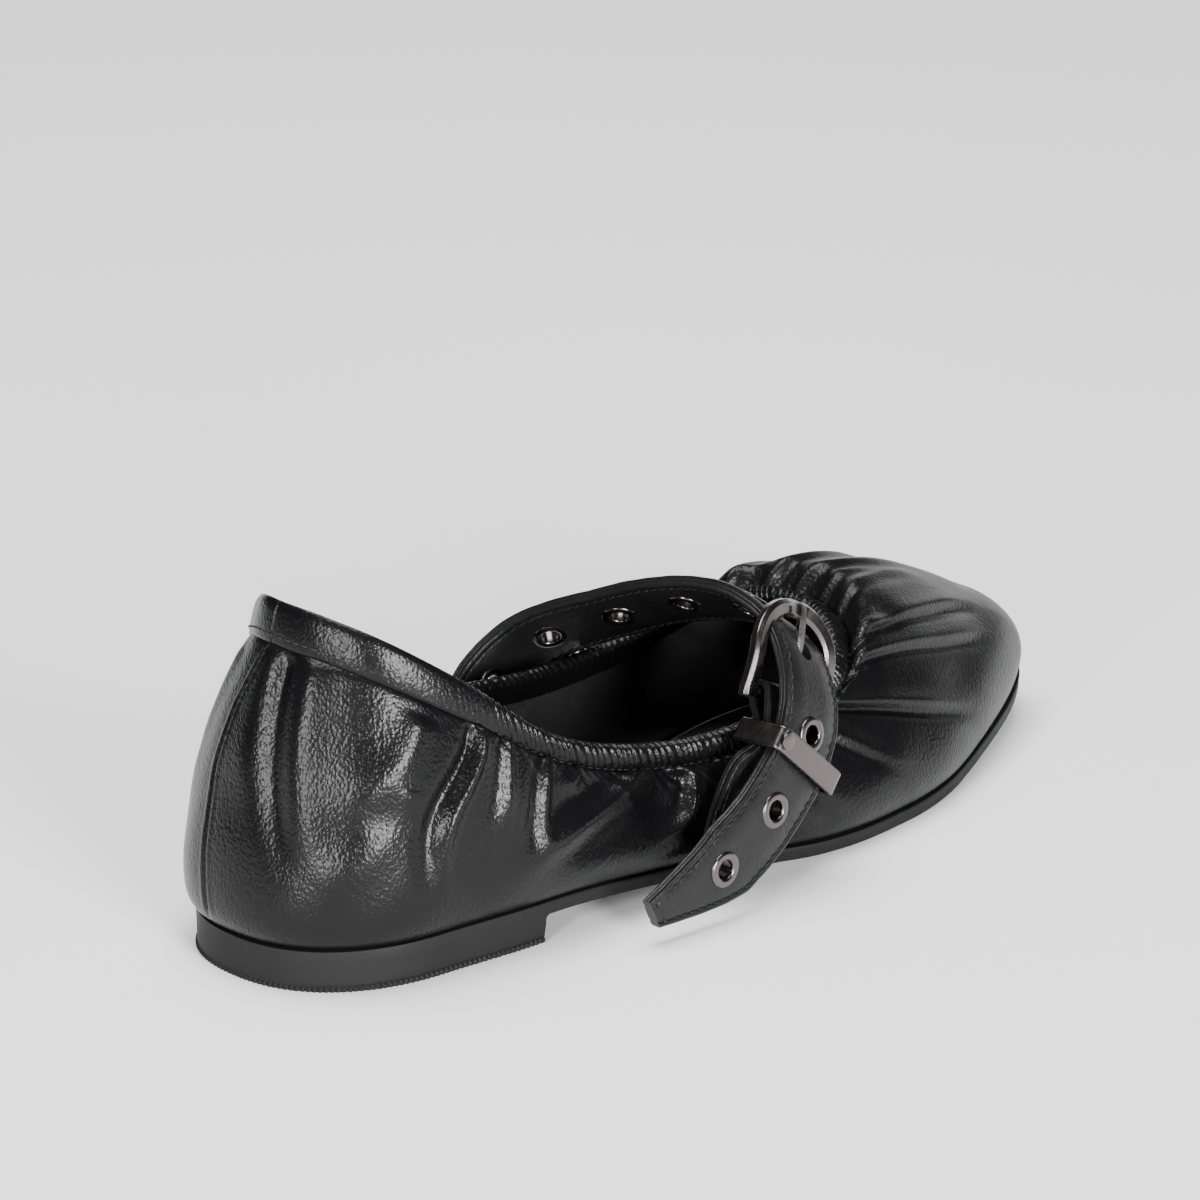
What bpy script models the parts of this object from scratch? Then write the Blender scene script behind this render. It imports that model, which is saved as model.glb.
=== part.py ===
"""Right shoe of a pair of ballet flats: gathered leather upper, moulded sole with a low heel, and a
buckled strap over the instep.

Metres, +X to the toe, +Y to the inner (medial) side, -Y to the outer (lateral) side, +Z up.
The origin is the centre of the heel's flat bottom. Lengths along the shoe are measured from the
back of the sole as shares of SOLE_LENGTH, and along() turns such a share into X.
"""
import math

import bpy
import bmesh
import numpy as np
from mathutils import Matrix, Vector

# Sole
SOLE_LENGTH = 0.2450
BALL_WIDTH = 0.0765
HEEL_WIDTH = 0.0595
HEEL_HEIGHT = 0.0092
HEEL_LENGTH = 0.0612
OUTSOLE_THICKNESS = 0.0032
TOE_SPRING = 0.0085
BREAST_CURVE = 0.0035
BREAST_SLOPE = 0.0008
EDGE_ROUND = 0.0006
ORIGIN_FROM_BACK = 0.0320

# Upper
COUNTER_TOP = 0.0815
THROAT_TOP = 0.0440
WALL = 0.0017
HEM_WALL = 0.0026
HEM_WIDTH = 0.0090
BAND_WIDTH = 0.0056
RIM = 0.0024
SWELL = 0.0055
CROWN = 0.0060

# Insole
INSOLE_THICKNESS = 0.0028

# Strap, its eyelets and the buckle
STRAP_WIDTH = 0.0198
STRAP_THICKNESS = 0.0030
STRAP_CHAMFER = 0.0005
TIP_TAPER = 0.0240
TIP_END = 0.36
EYELET_PITCH = 0.0190
EYELET_HOLE = 0.0056
EYELET_FLANGE = 0.0084
EYELET_RIM = 0.0006
LAYER_THICKNESS = 0.0014
LAYER_WIDTH = 0.0182
FOOT_DROP = 0.0022
PIN_DIAMETER = 0.0024
FRAME_BAR = 0.0030
FRAME_DEPTH = 0.0030
FRAME_ROUND = 0.0098
FRAME_PLAY = 0.0010
FRAME_LIFT = 0.0012
FRAME_BOW = 0.0015
PIN_DEPTH = 0.0072
PRONG_WIDTH = 0.0022
PRONG_THICKNESS = 0.0018
PRONG_SLOT = 0.0090
KEEPER_BAR = 0.0056
KEEPER_THICKNESS = 0.0018
KEEPER_DEPTH = 0.0130
KEEPER_TO_LAYER = 0.0046

# Fits
GAP = 0.0003
SIDE_PLAY = 0.0006

# Mesh density
STATIONS = 72
WALL_ROWS = 10
HEEL_CELLS = 4
EYELET_SIDES = 11


def along(share):
    """X of a place given as a share of the sole's length from its back."""
    return share * SOLE_LENGTH - ORIGIN_FROM_BACK


class Table:
    """A short table with named columns, read smoothly and without overshoot along its first column."""

    def __init__(self, columns, rows):
        self.columns = columns
        self.data = {name: np.array(values, float) for name, values in zip(columns, zip(*rows))}
        self.place = self.data[columns[0]]

    def read(self, column, place):
        x, y = self.place, self.data[column]
        step = np.diff(x)
        slope = np.diff(y) / step
        before, after = slope[:-1], slope[1:]
        same_way = before * after > 0
        tangent = np.zeros(len(x))
        total = np.where(same_way, before + after, 1.0)
        tangent[1:-1] = np.where(same_way, 2 * before * after / total, 0.0)
        tangent[0], tangent[-1] = slope[0], slope[-1]
        place = np.clip(np.asarray(place, float), x[0], x[-1])
        i = np.clip(np.searchsorted(x, place, side="right") - 1, 0, len(step) - 1)
        t = (place - x[i]) / step[i]
        start = (1 + 2 * t) * (1 - t) ** 2 * y[i] + t * (1 - t) ** 2 * step[i] * tangent[i]
        end = t * t * (3 - 2 * t) * y[i + 1] + t * t * (t - 1) * step[i] * tangent[i + 1]
        return start + end


def smooth(value):
    value = np.clip(value, 0.0, 1.0)
    return value * value * (3 - 2 * value)


def unit(vectors):
    return vectors / np.linalg.norm(vectors, axis=-1, keepdims=True)


# The last's plan: each side's breadth as shares of half the heel's and half the ball's width.
PLAN = Table(
    ("along", "lateral_heel", "lateral_ball", "medial_heel", "medial_ball"), (
        (0.00, 0.88, 0.00, 1.12, 0.00),
        (0.14, 0.95, 0.00, 1.05, 0.00),
        (0.25, 1.02, 0.00, 0.92, 0.00),
        (0.40, 0.52, 0.40, 0.40, 0.30),
        (0.54, 0.00, 0.93, 0.00, 0.70),
        (0.62, 0.00, 1.00, 0.00, 0.84),
        (0.69, 0.00, 0.96, 0.00, 0.95),
        (0.76, 0.00, 0.87, 0.00, 1.00),
        (0.88, 0.00, 0.68, 0.00, 0.90),
        (1.00, 0.00, 0.57, 0.00, 0.75)))
HEEL_ROUND, HEEL_POWER, HEEL_SWING = 0.14, 2.3, 0.10
TOE_ROUND, TOE_POWER, TOE_SWING = 0.30, 2.0, 0.13

# How high the feather edge rides: shares of the heel's lift and of the toe spring.
RISE = Table(
    ("along", "heel", "toe"), (
        (0.00, 1.00, 0.00),
        (0.12, 1.00, 0.00),
        (0.25, 0.97, 0.00),
        (0.40, 0.56, 0.00),
        (0.52, 0.12, 0.00),
        (0.58, 0.00, 0.00),
        (0.74, 0.00, 0.00),
        (0.84, 0.00, 0.20),
        (0.92, 0.00, 0.52),
        (1.00, 0.00, 1.00)))

# The topline, from the back seam (0) to the middle of the throat (1) on both sides at once.
# reach: share of the sole's length. lateral, medial: shares of half the ball's width, to the inner
# side when positive. counter, throat: shares of those two heights, which add up. lift: the medial
# side's extra share of the throat's height. swell: share of SWELL. belly: how low the swell sits,
# lower when smaller. dome: how much the wall rounds over. band: 0 for the hem at the heel, 1 for the
# gathered band. lean: how upright the band stands, in radians.
TOPLINE = Table(
    ("half", "reach", "lateral", "medial", "counter", "throat", "lift",
     "swell_lateral", "swell_medial", "belly", "dome", "band", "lean"), (
        (0.0, 0.068, 0.09, 0.09, 1.000, 0.00, 0.00, 0.60, 0.60, 0.42, 0.30, 0.0, 1.30),
        (0.1, 0.078, -0.20, 0.33, 0.985, 0.00, 0.00, 0.70, 0.70, 0.42, 0.30, 0.0, 1.30),
        (0.2, 0.110, -0.49, 0.57, 0.925, 0.00, -0.03, 0.85, 0.85, 0.46, 0.30, 0.0, 1.32),
        (0.3, 0.175, -0.69, 0.69, 0.785, 0.00, -0.14, 0.90, 0.90, 0.52, 0.28, 0.3, 1.35),
        (0.4, 0.280, -0.75, 0.71, 0.310, 0.46, -0.08, 0.85, 0.85, 0.56, 0.22, 1.0, 1.35),
        (0.5, 0.421, -0.74, 0.67, 0.000, 0.81, 0.02, 0.75, 0.90, 0.60, 0.22, 1.0, 1.30),
        (0.6, 0.556, -0.72, 0.70, 0.000, 0.79, 0.03, 0.70, 0.85, 0.60, 0.32, 1.0, 1.15),
        (0.7, 0.628, -0.62, 0.66, 0.000, 0.86, 0.02, 0.70, 0.80, 0.60, 0.58, 1.0, 0.85),
        (0.8, 0.665, -0.42, 0.52, 0.000, 0.94, 0.02, 0.50, 0.60, 0.60, 0.85, 1.0, 0.55),
        (0.9, 0.686, -0.17, 0.31, 0.000, 0.985, 0.01, 0.30, 0.35, 0.60, 1.00, 1.0, 0.35),
        (1.0, 0.693, 0.08, 0.08, 0.000, 1.00, 0.00, 0.20, 0.20, 0.60, 1.00, 1.0, 0.30)))

# The long strap's middle line, from its foot at the medial waist over the opening to the free tip.
# reach: share of the sole's length. spread: share of half the ball's width. rise: share of the
# throat's height. lean: how far its width slopes from level, in degrees.
STRAP_PATH = Table(
    ("run", "reach", "spread", "rise", "lean"), (
        (0.00, 0.380, 0.600, 0.130, 4.0),
        (0.05, 0.388, 0.800, 0.330, 14.0),
        (0.13, 0.422, 0.970, 0.610, 30.0),
        (0.20, 0.472, 0.930, 0.840, 38.0),
        (0.31, 0.519, 0.420, 1.090, 38.0),
        (0.41, 0.539, -0.080, 1.250, 38.0),
        (0.49, 0.545, -0.530, 1.305, 38.0),
        (0.56, 0.542, -0.880, 1.235, 38.0),
        (0.63, 0.530, -1.120, 1.040, 39.0),
        (0.69, 0.515, -1.200, 0.820, 41.0),
        (0.78, 0.469, -1.240, 0.530, 47.0),
        (0.89, 0.396, -1.280, 0.300, 60.0),
        (1.00, 0.310, -1.265, 0.175, 67.0)))
PRONG_SHARE = 0.622
FRAME_SHARE = 0.580
PIN_SHARE = 0.672
KEEPER_SHARE = 0.742

# The short strap's middle line, from its foot at the lateral waist up to the keeper. From there it
# follows the long strap to the buckle's pin.
LAYER_PATH = Table(
    ("run", "reach", "spread", "rise", "lean"), (
        (0.00, 0.440, -0.870, 0.080, 3.0),
        (0.12, 0.444, -0.985, 0.190, 8.0),
        (0.30, 0.452, -1.000, 0.370, 20.0),
        (0.55, 0.470, -1.000, 0.560, 36.0)))


def plan_breadth(share, side):
    """Y of the feather edge on one side, rounded in to one point at the back and at the toe."""
    name = "lateral" if side < 0 else "medial"
    half = PLAN.read(name + "_heel", share) * HEEL_WIDTH + PLAN.read(name + "_ball", share) * BALL_WIDTH
    y = side * half / 2
    back = np.clip(1 - share / HEEL_ROUND, 0, 1)
    middle = HEEL_SWING * HEEL_WIDTH / 2
    y = middle + (y - middle) * (1 - back ** HEEL_POWER) ** (1 / HEEL_POWER)
    front = np.clip((share - 1 + TOE_ROUND) / TOE_ROUND, 0, 1)
    middle = TOE_SWING * BALL_WIDTH / 2 * smooth(front * 4)
    return middle + (y - middle) * (1 - front ** TOE_POWER) ** (1 / TOE_POWER)


def feather_height(share):
    """Top of the outsole's edge, on which the upper sits."""
    lift = HEEL_HEIGHT - OUTSOLE_THICKNESS
    return OUTSOLE_THICKNESS + RISE.read("heel", share) * lift + RISE.read("toe", share) * TOE_SPRING


def feather_line(turn, inset=0.0):
    """The feather edge at a turn from the back seam (0) by the lateral side and the toe (0.5) to 1."""
    turn = np.asarray(turn, float) % 1.0
    half = 1 - np.abs(1 - 2 * turn)
    share = (1 - np.cos(np.pi * half)) / 2
    y = np.where(turn <= 0.5, plan_breadth(share, -1), plan_breadth(share, 1))
    line = np.stack([along(share), y, feather_height(share)], -1)
    if inset:
        line[..., :2] -= inset * plan_outward(turn)
    return line


def plan_outward(turn):
    """Level direction out of the shoe, square to the feather edge."""
    step = 0.002
    flow = feather_line(turn + step)[..., :2] - feather_line(turn - step)[..., :2]
    return unit(np.stack([flow[..., 1], -flow[..., 0]], -1))


def around(values, turn):
    """Reads a ring of evenly spaced values smoothly at a turn."""
    count = len(values)
    place = (np.asarray(turn, float) % 1.0) * count
    i = np.floor(place).astype(int) % count
    t = place - np.floor(place)
    before, start = values[(i - 1) % count], values[i]
    end, after = values[(i + 1) % count], values[(i + 2) % count]
    flow_in, flow_out = (end - before) / 2, (after - start) / 2
    return ((1 + 2 * t) * (1 - t) ** 2 * start + t * (1 - t) ** 2 * flow_in
            + t * t * (3 - 2 * t) * end + t * t * (t - 1) * flow_out)


def topline_value(name, turn, medial=None):
    """A column of the topline's table, run up the lateral side and back down the medial one."""
    lateral_values = TOPLINE.data[name]
    medial_values = TOPLINE.data[medial or name]
    return around(np.concatenate([lateral_values, medial_values[-2:0:-1]]), turn)


def topline(turn):
    """The free edge of the opening."""
    turn = np.asarray(turn, float) % 1.0
    x = along(topline_value("reach", turn))
    y = topline_value("lateral", turn, "medial") * BALL_WIDTH / 2
    lift = np.concatenate([TOPLINE.data["lift"] * 0, TOPLINE.data["lift"][-2:0:-1]])
    throat = topline_value("throat", turn) + around(lift, turn)
    z = topline_value("counter", turn) * COUNTER_TOP + throat * THROAT_TOP
    return np.stack([x, y, z], -1)


def band_width(turn):
    share = np.clip(topline_value("band", turn), 0, 1)
    return HEM_WIDTH + (BAND_WIDTH - HEM_WIDTH) * share


def stitch_line(turn):
    """The lower edge of the hem and of the gathered band, one band's width below the free edge."""
    edge = topline(turn)
    step = 0.004
    flow = topline(turn + step)[..., :2] - topline(turn - step)[..., :2]
    outward = unit(np.stack([flow[..., 1], -flow[..., 0]], -1))
    lean = topline_value("lean", turn)
    width = band_width(turn)
    level = (width * np.cos(lean))[..., None] * outward
    return np.concatenate([edge[..., :2] + level, (edge[..., 2] - width * np.sin(lean))[..., None]], -1)


def wall_point(turn, height):
    """The upper's outer face: height runs from the feather edge (0) to the stitch line (1)."""
    turn, height = np.broadcast_arrays(np.asarray(turn, float), np.asarray(height, float))
    foot = feather_line(turn, RIM)
    foot[..., 2] += GAP
    top = stitch_line(turn)
    dome = np.clip(topline_value("dome", turn), 0, 1)
    angle = height * math.pi / 2
    rise = height + dome * (np.sin(angle) - height)
    reach = height + dome * (1 - np.cos(angle) - height)
    level = foot[..., :2] + (top[..., :2] - foot[..., :2]) * reach[..., None]
    z = foot[..., 2] + (top[..., 2] - foot[..., 2]) * rise
    swell = topline_value("swell_lateral", turn, "swell_medial") * SWELL + RIM
    bulge = np.sin(np.pi * np.clip(height, 0, 1) ** topline_value("belly", turn)) ** 0.9
    level = level + (swell * bulge)[..., None] * plan_outward(turn)
    fullness = smooth((dome - 0.35) / 0.6)
    puff = smooth((height - 0.45) / 0.45) * (1 - smooth((height - 0.93) / 0.07))
    z = z + CROWN * fullness * puff
    return np.concatenate([level, z[..., None]], -1)


def clear_of_wall(x, z, lean, side):
    """How far out the wall and the sole's edge reach behind the whole width of a strap."""
    turn = np.linspace(0.10, 0.40, 91)
    turn = turn if side < 0 else 1 - turn
    points = wall_point(turn[:, None], np.linspace(0, 1, 41)[None, :]).reshape(-1, 3)
    edge = feather_line(turn)
    below = edge - np.array([0, 0, OUTSOLE_THICKNESS])
    points = np.concatenate([points, edge, (edge + below) / 2, below])
    run = (points[:, 0] - x) * math.cos(lean) - (points[:, 2] - z) * math.sin(lean)
    off = (points[:, 0] - x) * math.sin(lean) + (points[:, 2] - z) * math.cos(lean)
    near = (np.abs(run) < STRAP_WIDTH / 2 + SIDE_PLAY) & (np.abs(off) < 0.003)
    return np.abs(points[near, 1]).max() if near.any() else 0.0


def smooth_curve(points, count):
    """Evenly spaced points on one smooth curve through hand-placed ones."""
    points = np.asarray(points, float)
    chord = np.concatenate([[0], np.cumsum(np.linalg.norm(np.diff(points[:, :3], axis=0), axis=1))])
    slope = np.gradient(points, chord, axis=0)
    fine = np.linspace(0, chord[-1], 40 * len(points))
    i = np.clip(np.searchsorted(chord, fine, side="right") - 1, 0, len(chord) - 2)
    length = (chord[i + 1] - chord[i])[:, None]
    t = ((fine - chord[i])[:, None]) / length
    curve = ((1 + 2 * t) * (1 - t) ** 2 * points[i] + t * (1 - t) ** 2 * length * slope[i]
             + t * t * (3 - 2 * t) * points[i + 1] + t * t * (t - 1) * length * slope[i + 1])
    run = np.concatenate([[0], np.cumsum(np.linalg.norm(np.diff(curve[:, :3], axis=0), axis=1))])
    even = np.linspace(0, run[-1], count)
    return np.stack([np.interp(even, run, curve[:, k]) for k in range(points.shape[1])], 1), run[-1]


def table_stops(table):
    """A table's rows as X, Y, Z and lean."""
    data = table.data
    return np.stack([along(data["reach"]), data["spread"] * BALL_WIDTH / 2, data["rise"] * THROAT_TOP,
                     data["lean"]], -1)


def keeper_front():
    """How far the keeper's outer bar stands off the middle of the long strap."""
    return STRAP_THICKNESS / 2 + EYELET_RIM / 2 + 2 * GAP + KEEPER_THICKNESS / 2


def tail_shift(curve, side):
    """How far out a long strap's tail has to move, so that the keeper's inner bar clears the wall."""
    place = KEEPER_SHARE * (len(curve) - 1)
    x, y, z, lean = [np.interp(place, np.arange(len(curve)), column) for column in curve.T]
    if np.sign(y) == side or z > THROAT_TOP:
        return 0.0
    room = KEEPER_DEPTH + KEEPER_THICKNESS / 2 - keeper_front() + GAP
    return max(0.0, clear_of_wall(x, z, math.radians(lean), -side) + room - abs(y))


def path_of(stops, side, thickness, count):
    """Middle points, width and thickness directions of a strap whose foot clasps the sole's edge."""
    rows = stops.copy()
    rows[0, 2] = feather_height((rows[0, 0] + ORIGIN_FROM_BACK) / SOLE_LENGTH) - FOOT_DROP
    curve, length = smooth_curve(rows, count)
    for point in curve:
        if np.sign(point[1]) == side and point[2] < THROAT_TOP:
            reach = clear_of_wall(point[0], point[2], math.radians(point[3]), side)
            point[1] = side * max(abs(point[1]), reach + 2 * GAP + thickness / 2)
    past_top = smooth((np.linspace(0, 1, count) - FRAME_SHARE) / (KEEPER_SHARE - FRAME_SHARE))
    curve[:, 1] -= side * tail_shift(curve, side) * past_top
    centre = curve[:, :3]
    inner = centre[1:-1, 1]
    centre[1:-1, 1] = side * np.maximum(side * inner, side * (centre[:-2, 1] + centre[2:, 1]) / 2)
    lean = np.radians(curve[:, 3])
    tangent = unit(np.gradient(centre, axis=0))
    width = np.stack([np.cos(lean), np.zeros(count), -np.sin(lean)], -1)
    normal = side * unit(np.cross(tangent, width))
    return centre, width, normal, tangent, length


def new_object(name, mesh, collection):
    item = bpy.data.objects.new(name, mesh)
    collection.objects.link(item)
    return item


def mesh_from(name, points, faces):
    mesh = bpy.data.meshes.new(name)
    mesh.from_pydata([tuple(point) for point in points], [], faces)
    work = bmesh.new()
    work.from_mesh(mesh)
    bmesh.ops.recalc_face_normals(work, faces=work.faces)
    work.to_mesh(mesh)
    work.free()
    return mesh


def shade(item, degrees=35.0):
    item.data.shade_smooth()
    item.data.set_sharp_from_angle(angle=math.radians(degrees))


def loft(name, rings, closed_path, collection):
    """Joins rings of equal size into one closed skin, capped at both ends unless the path closes."""
    rings = np.asarray(rings)
    count, size = rings.shape[:2]
    points = rings.reshape(-1, 3)
    faces = []
    for i in range(count if closed_path else count - 1):
        j = (i + 1) % count
        for k in range(size):
            m = (k + 1) % size
            faces.append((i * size + k, i * size + m, j * size + m, j * size + k))
    if not closed_path:
        faces.append(tuple(range(size))[::-1])
        faces.append(tuple((count - 1) * size + k for k in range(size)))
    return new_object(name, mesh_from(name, points, faces), collection)


def bar_ring(centre, width, normal, half_width, half_thickness, chamfer):
    """An eight-cornered section of a flat bar."""
    corners = []
    for a, b in ((1, -1), (1, 1), (-1, 1), (-1, -1)):
        first = (a * half_width, b * (half_thickness - chamfer))
        second = (a * (half_width - chamfer), b * half_thickness)
        corners += [first, second] if a * b > 0 else [second, first]
    return [centre + u * width + v * normal for u, v in corners]


def boolean(item, tool, operation):
    change = item.modifiers.new(operation.lower(), "BOOLEAN")
    change.operation = operation
    change.solver = "EXACT"
    change.object = tool


def as_cutter(item):
    item.hide_render = True
    item.display_type = "WIRE"


def material(name, color, roughness, metallic):
    finish = bpy.data.materials.new(name)
    finish.use_nodes = True
    shader = finish.node_tree.nodes["Principled BSDF"]
    shader.inputs["Base Color"].default_value = (*color, 1.0)
    shader.inputs["Roughness"].default_value = roughness
    shader.inputs["Metallic"].default_value = metallic
    return finish


def paint(item, finish):
    item.data.materials.clear()
    item.data.materials.append(finish)


def make_outsole(collection):
    """One moulding: a thin sole with its arch and toe spring, and a heel with a hollowed breast."""
    breast = HEEL_LENGTH / SOLE_LENGTH
    half = np.linspace(0, 1, 47)[1:-1]
    share = (1 - np.cos(np.pi * half)) / 2
    share = share[np.abs(share - breast) > 0.012]
    step = BREAST_SLOPE / SOLE_LENGTH
    share = np.sort(np.concatenate([share, [0.0006, 0.9994, breast, breast + step]]))
    across = np.linspace(-1, 1, HEEL_CELLS + 1)
    top, bottom = [], []
    for place in share:
        lateral, medial = plan_breadth(place, -1), plan_breadth(place, 1)
        bow = BREAST_CURVE * math.exp(-((place - breast) * SOLE_LENGTH / 0.012) ** 2)
        x = along(place) - bow * (1 - across ** 2)
        y = (lateral + medial) / 2 + (medial - lateral) / 2 * across
        high = feather_height(place)
        low = 0.0 if place <= breast else high - OUTSOLE_THICKNESS
        top.append(np.stack([x, y, np.full_like(x, high)], -1))
        bottom.append(np.stack([x, y, np.full_like(x, low)], -1))
    rings = []
    for high, low in zip(top, bottom):
        inward = np.array([0, 1, 0]) * EDGE_ROUND
        edge = np.array([0, 0, EDGE_ROUND])
        low = low.copy()
        low_edge = [low[-1] + edge, low[0] + edge]
        low[0] += inward
        low[-1] -= inward
        rings.append(np.concatenate([high, [low_edge[0]], low[::-1], [low_edge[1]]]))
    item = loft("outsole", rings, False, collection)
    weld = item.modifiers.new("weld", "WELD")
    weld.merge_threshold = 0.00002
    return item


def make_insole(collection):
    """The sock lining and its board: a thin sheet inside the wall, on top of the sole."""
    inset = RIM + WALL + GAP + SIDE_PLAY
    half = np.linspace(0, 1, 34)[1:-1]
    rings = []
    for place in half:
        lateral = feather_line(place / 2, inset)
        medial = feather_line(1 - place / 2, inset)
        across = np.linspace(0, 1, 4)[:, None]
        low = lateral + (medial - lateral) * across
        low[:, 2] += GAP
        high = low.copy()
        high[:, 2] += INSOLE_THICKNESS
        rings.append(np.concatenate([high, low[::-1]]))
    return loft("insole", rings, False, collection)


def make_upper(collection):
    """The hollow gathered upper, open at the top and underneath, thicker along its folded hem."""
    turns = np.arange(STATIONS) / STATIONS
    heights = np.concatenate([np.linspace(0, 0.90, WALL_ROWS), [0.945, 0.975, 1.0]])
    rows = [wall_point(turns, height) for height in heights]
    low, edge = stitch_line(turns), topline(turns)
    outward = np.concatenate([plan_outward(turns), np.zeros((STATIONS, 1))], -1)
    step = (HEM_WALL - WALL) * 0.6
    lean = topline_value("lean", turns)[:, None]
    proud = outward * np.sin(lean) + np.array([0, 0, 1.0]) * np.cos(lean)
    rows += [low + (edge - low) * share + proud * step for share in (0.10, 0.45, 0.80)]
    rows.append(edge)
    thick_from = len(heights)
    points = np.concatenate(rows)
    faces = []
    for r in range(len(rows) - 1):
        for k in range(STATIONS):
            m = (k + 1) % STATIONS
            faces.append((r * STATIONS + k, r * STATIONS + m, (r + 1) * STATIONS + m, (r + 1) * STATIONS + k))
    item = new_object("upper", mesh_from("upper", points, faces), collection)
    ease = item.vertex_groups.new(name="wall")
    ease.add(range(thick_from * STATIONS), WALL / HEM_WALL, "REPLACE")
    ease.add(range(thick_from * STATIONS, len(points)), 1.0, "REPLACE")
    shell = item.modifiers.new("wall", "SOLIDIFY")
    shell.thickness = HEM_WALL
    shell.offset = -1.0
    shell.vertex_group = "wall"
    shell.use_even_offset = False
    return item


def strap_half_width(length_left, skew):
    """Half the strap's width, tapering to its blunt tip."""
    share = min(length_left / TIP_TAPER, 1.0)
    return STRAP_WIDTH / 2 * (TIP_END + (1 - TIP_END) * share) / skew


def make_strap(collection):
    centre, width, normal, tangent, length = STRAP
    left = np.linspace(length, 0, len(centre))
    rings = []
    for k in range(len(centre)):
        skew = np.linalg.norm(np.cross(width[k], tangent[k]))
        half = strap_half_width(left[k], skew)
        thin = LAYER_THICKNESS + (STRAP_THICKNESS - LAYER_THICKNESS) * smooth((length - left[k]) / 0.012)
        rings.append(bar_ring(centre[k], width[k], normal[k], half, thin / 2, STRAP_CHAMFER))
    return loft("strap", rings, False, collection)


def at_share(path, share):
    """A point of a strap and its directions at a share of its length."""
    place = share * (len(path[0]) - 1)
    i = int(min(place, len(path[0]) - 2))
    t = place - i
    return [path[k][i] * (1 - t) + path[k][i + 1] * t for k in range(4)]


def basis(centre, first, second, third):
    """A matrix with its X, Y and Z along the given directions, at a centre."""
    turn = Matrix((first, second, third)).transposed().to_4x4()
    turn.translation = Vector(centre)
    return turn


def turned(name, profile, segments, collection):
    """A closed profile of (radius, height) turned about Z by a Screw modifier."""
    mesh = bpy.data.meshes.new(name)
    work = bmesh.new()
    corners = [work.verts.new((radius, 0, height)) for radius, height in profile]
    for k, corner in enumerate(corners):
        work.edges.new((corner, corners[(k + 1) % len(corners)]))
    work.to_mesh(mesh)
    work.free()
    item = new_object(name, mesh, collection)
    screw = item.modifiers.new("turn", "SCREW")
    screw.angle = 2 * math.pi
    screw.steps = segments
    screw.render_steps = segments
    screw.use_merge_vertices = True
    screw.merge_threshold = 0.00001
    screw.use_normal_calculate = True
    return item


def eyelet_profile(clearance, reach):
    """Half section of a rolled eyelet through the strap; a cutter has clearance and a long reach."""
    half = STRAP_THICKNESS / 2
    hole = EYELET_HOLE / 2 - EYELET_RIM - clearance
    barrel = EYELET_HOLE / 2 + clearance
    flange = EYELET_FLANGE / 2 + clearance
    seat = half - EYELET_RIM / 2 - clearance
    crest = half + EYELET_RIM / 2 + reach
    return [(flange, crest - EYELET_RIM / 3), (flange - EYELET_RIM, crest), (hole, crest - EYELET_RIM / 3),
            (hole, -crest + EYELET_RIM / 3), (flange - EYELET_RIM, -crest), (flange, -crest + EYELET_RIM / 3),
            (flange, -seat), (barrel, -seat), (barrel, seat), (flange, seat)]


def make_eyelets(strap, parts, cutters):
    """Rolled eyelets at one pitch either side of the prong's hole, each let into the strap."""
    length = STRAP[4]
    places = [PRONG_SHARE + step * EYELET_PITCH / length for step in (-5, -4, -3, -2, -1, 1, 2, 3)]
    items = []
    for number, share in enumerate(places, 1):
        centre, width, normal, tangent = at_share(STRAP, share)
        normal = unit(normal)
        across = unit(np.cross(normal, tangent))
        place = basis(centre, np.cross(across, normal), across, normal)
        item = turned("eyelet_%d" % number, eyelet_profile(0.0, 0.0), EYELET_SIDES, parts)
        item.matrix_world = place
        cutter = turned("eyelet_cutter_%d" % number, eyelet_profile(GAP, 0.002), EYELET_SIDES, cutters)
        cutter.matrix_world = place
        for row in cutter.data.vertices:
            if math.hypot(row.co.x, row.co.y) < EYELET_HOLE / 2 - EYELET_RIM:
                row.co.x = 0.0
        as_cutter(cutter)
        boolean(strap, cutter, "DIFFERENCE")
        items.append(item)
    return items


def buckle_axes():
    """The buckle's pin, the far end of its frame, and the directions along, across and out of it."""
    middle, width, normal, tangent = at_share(STRAP, PIN_SHARE)
    normal = unit(normal)
    pin = middle - normal * PIN_DEPTH
    over, over_width, over_normal, _ = at_share(STRAP, FRAME_SHARE)
    far = over + unit(over_normal) * (STRAP_THICKNESS / 2 + FRAME_LIFT + FRAME_DEPTH / 2)
    along_frame = unit(far - pin)
    across = unit(width + over_width)
    across = unit(across - along_frame * across.dot(along_frame))
    out = unit(np.cross(across, along_frame))
    if out.dot(normal) < 0:
        out = -out
    return pin, far, along_frame, across, out


def layer_path():
    """The short strap's path: up from its foot, through the keeper behind the long strap, to the pin."""
    middle, width, normal, _ = at_share(STRAP, KEEPER_SHARE)
    within = middle - unit(normal) * KEEPER_TO_LAYER
    pin, _, _, across, _ = BUCKLE
    ends = []
    for place, way in ((within, width), (pin, across)):
        ends.append((*place, math.degrees(math.atan2(-way[2], way[0]))))
    stops = np.concatenate([table_stops(LAYER_PATH), np.array(ends)])
    path = path_of(stops, -1, LAYER_THICKNESS * 2 + GAP, 24)
    centre, width, normal, tangent, length = path
    near = smooth((np.linspace(0, 1, len(centre)) - 0.5) / 0.5)[:, None]
    width = unit(width * (1 - near) + across * near)
    normal = -unit(np.cross(tangent, width))
    return centre, width, normal, tangent, length


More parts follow.
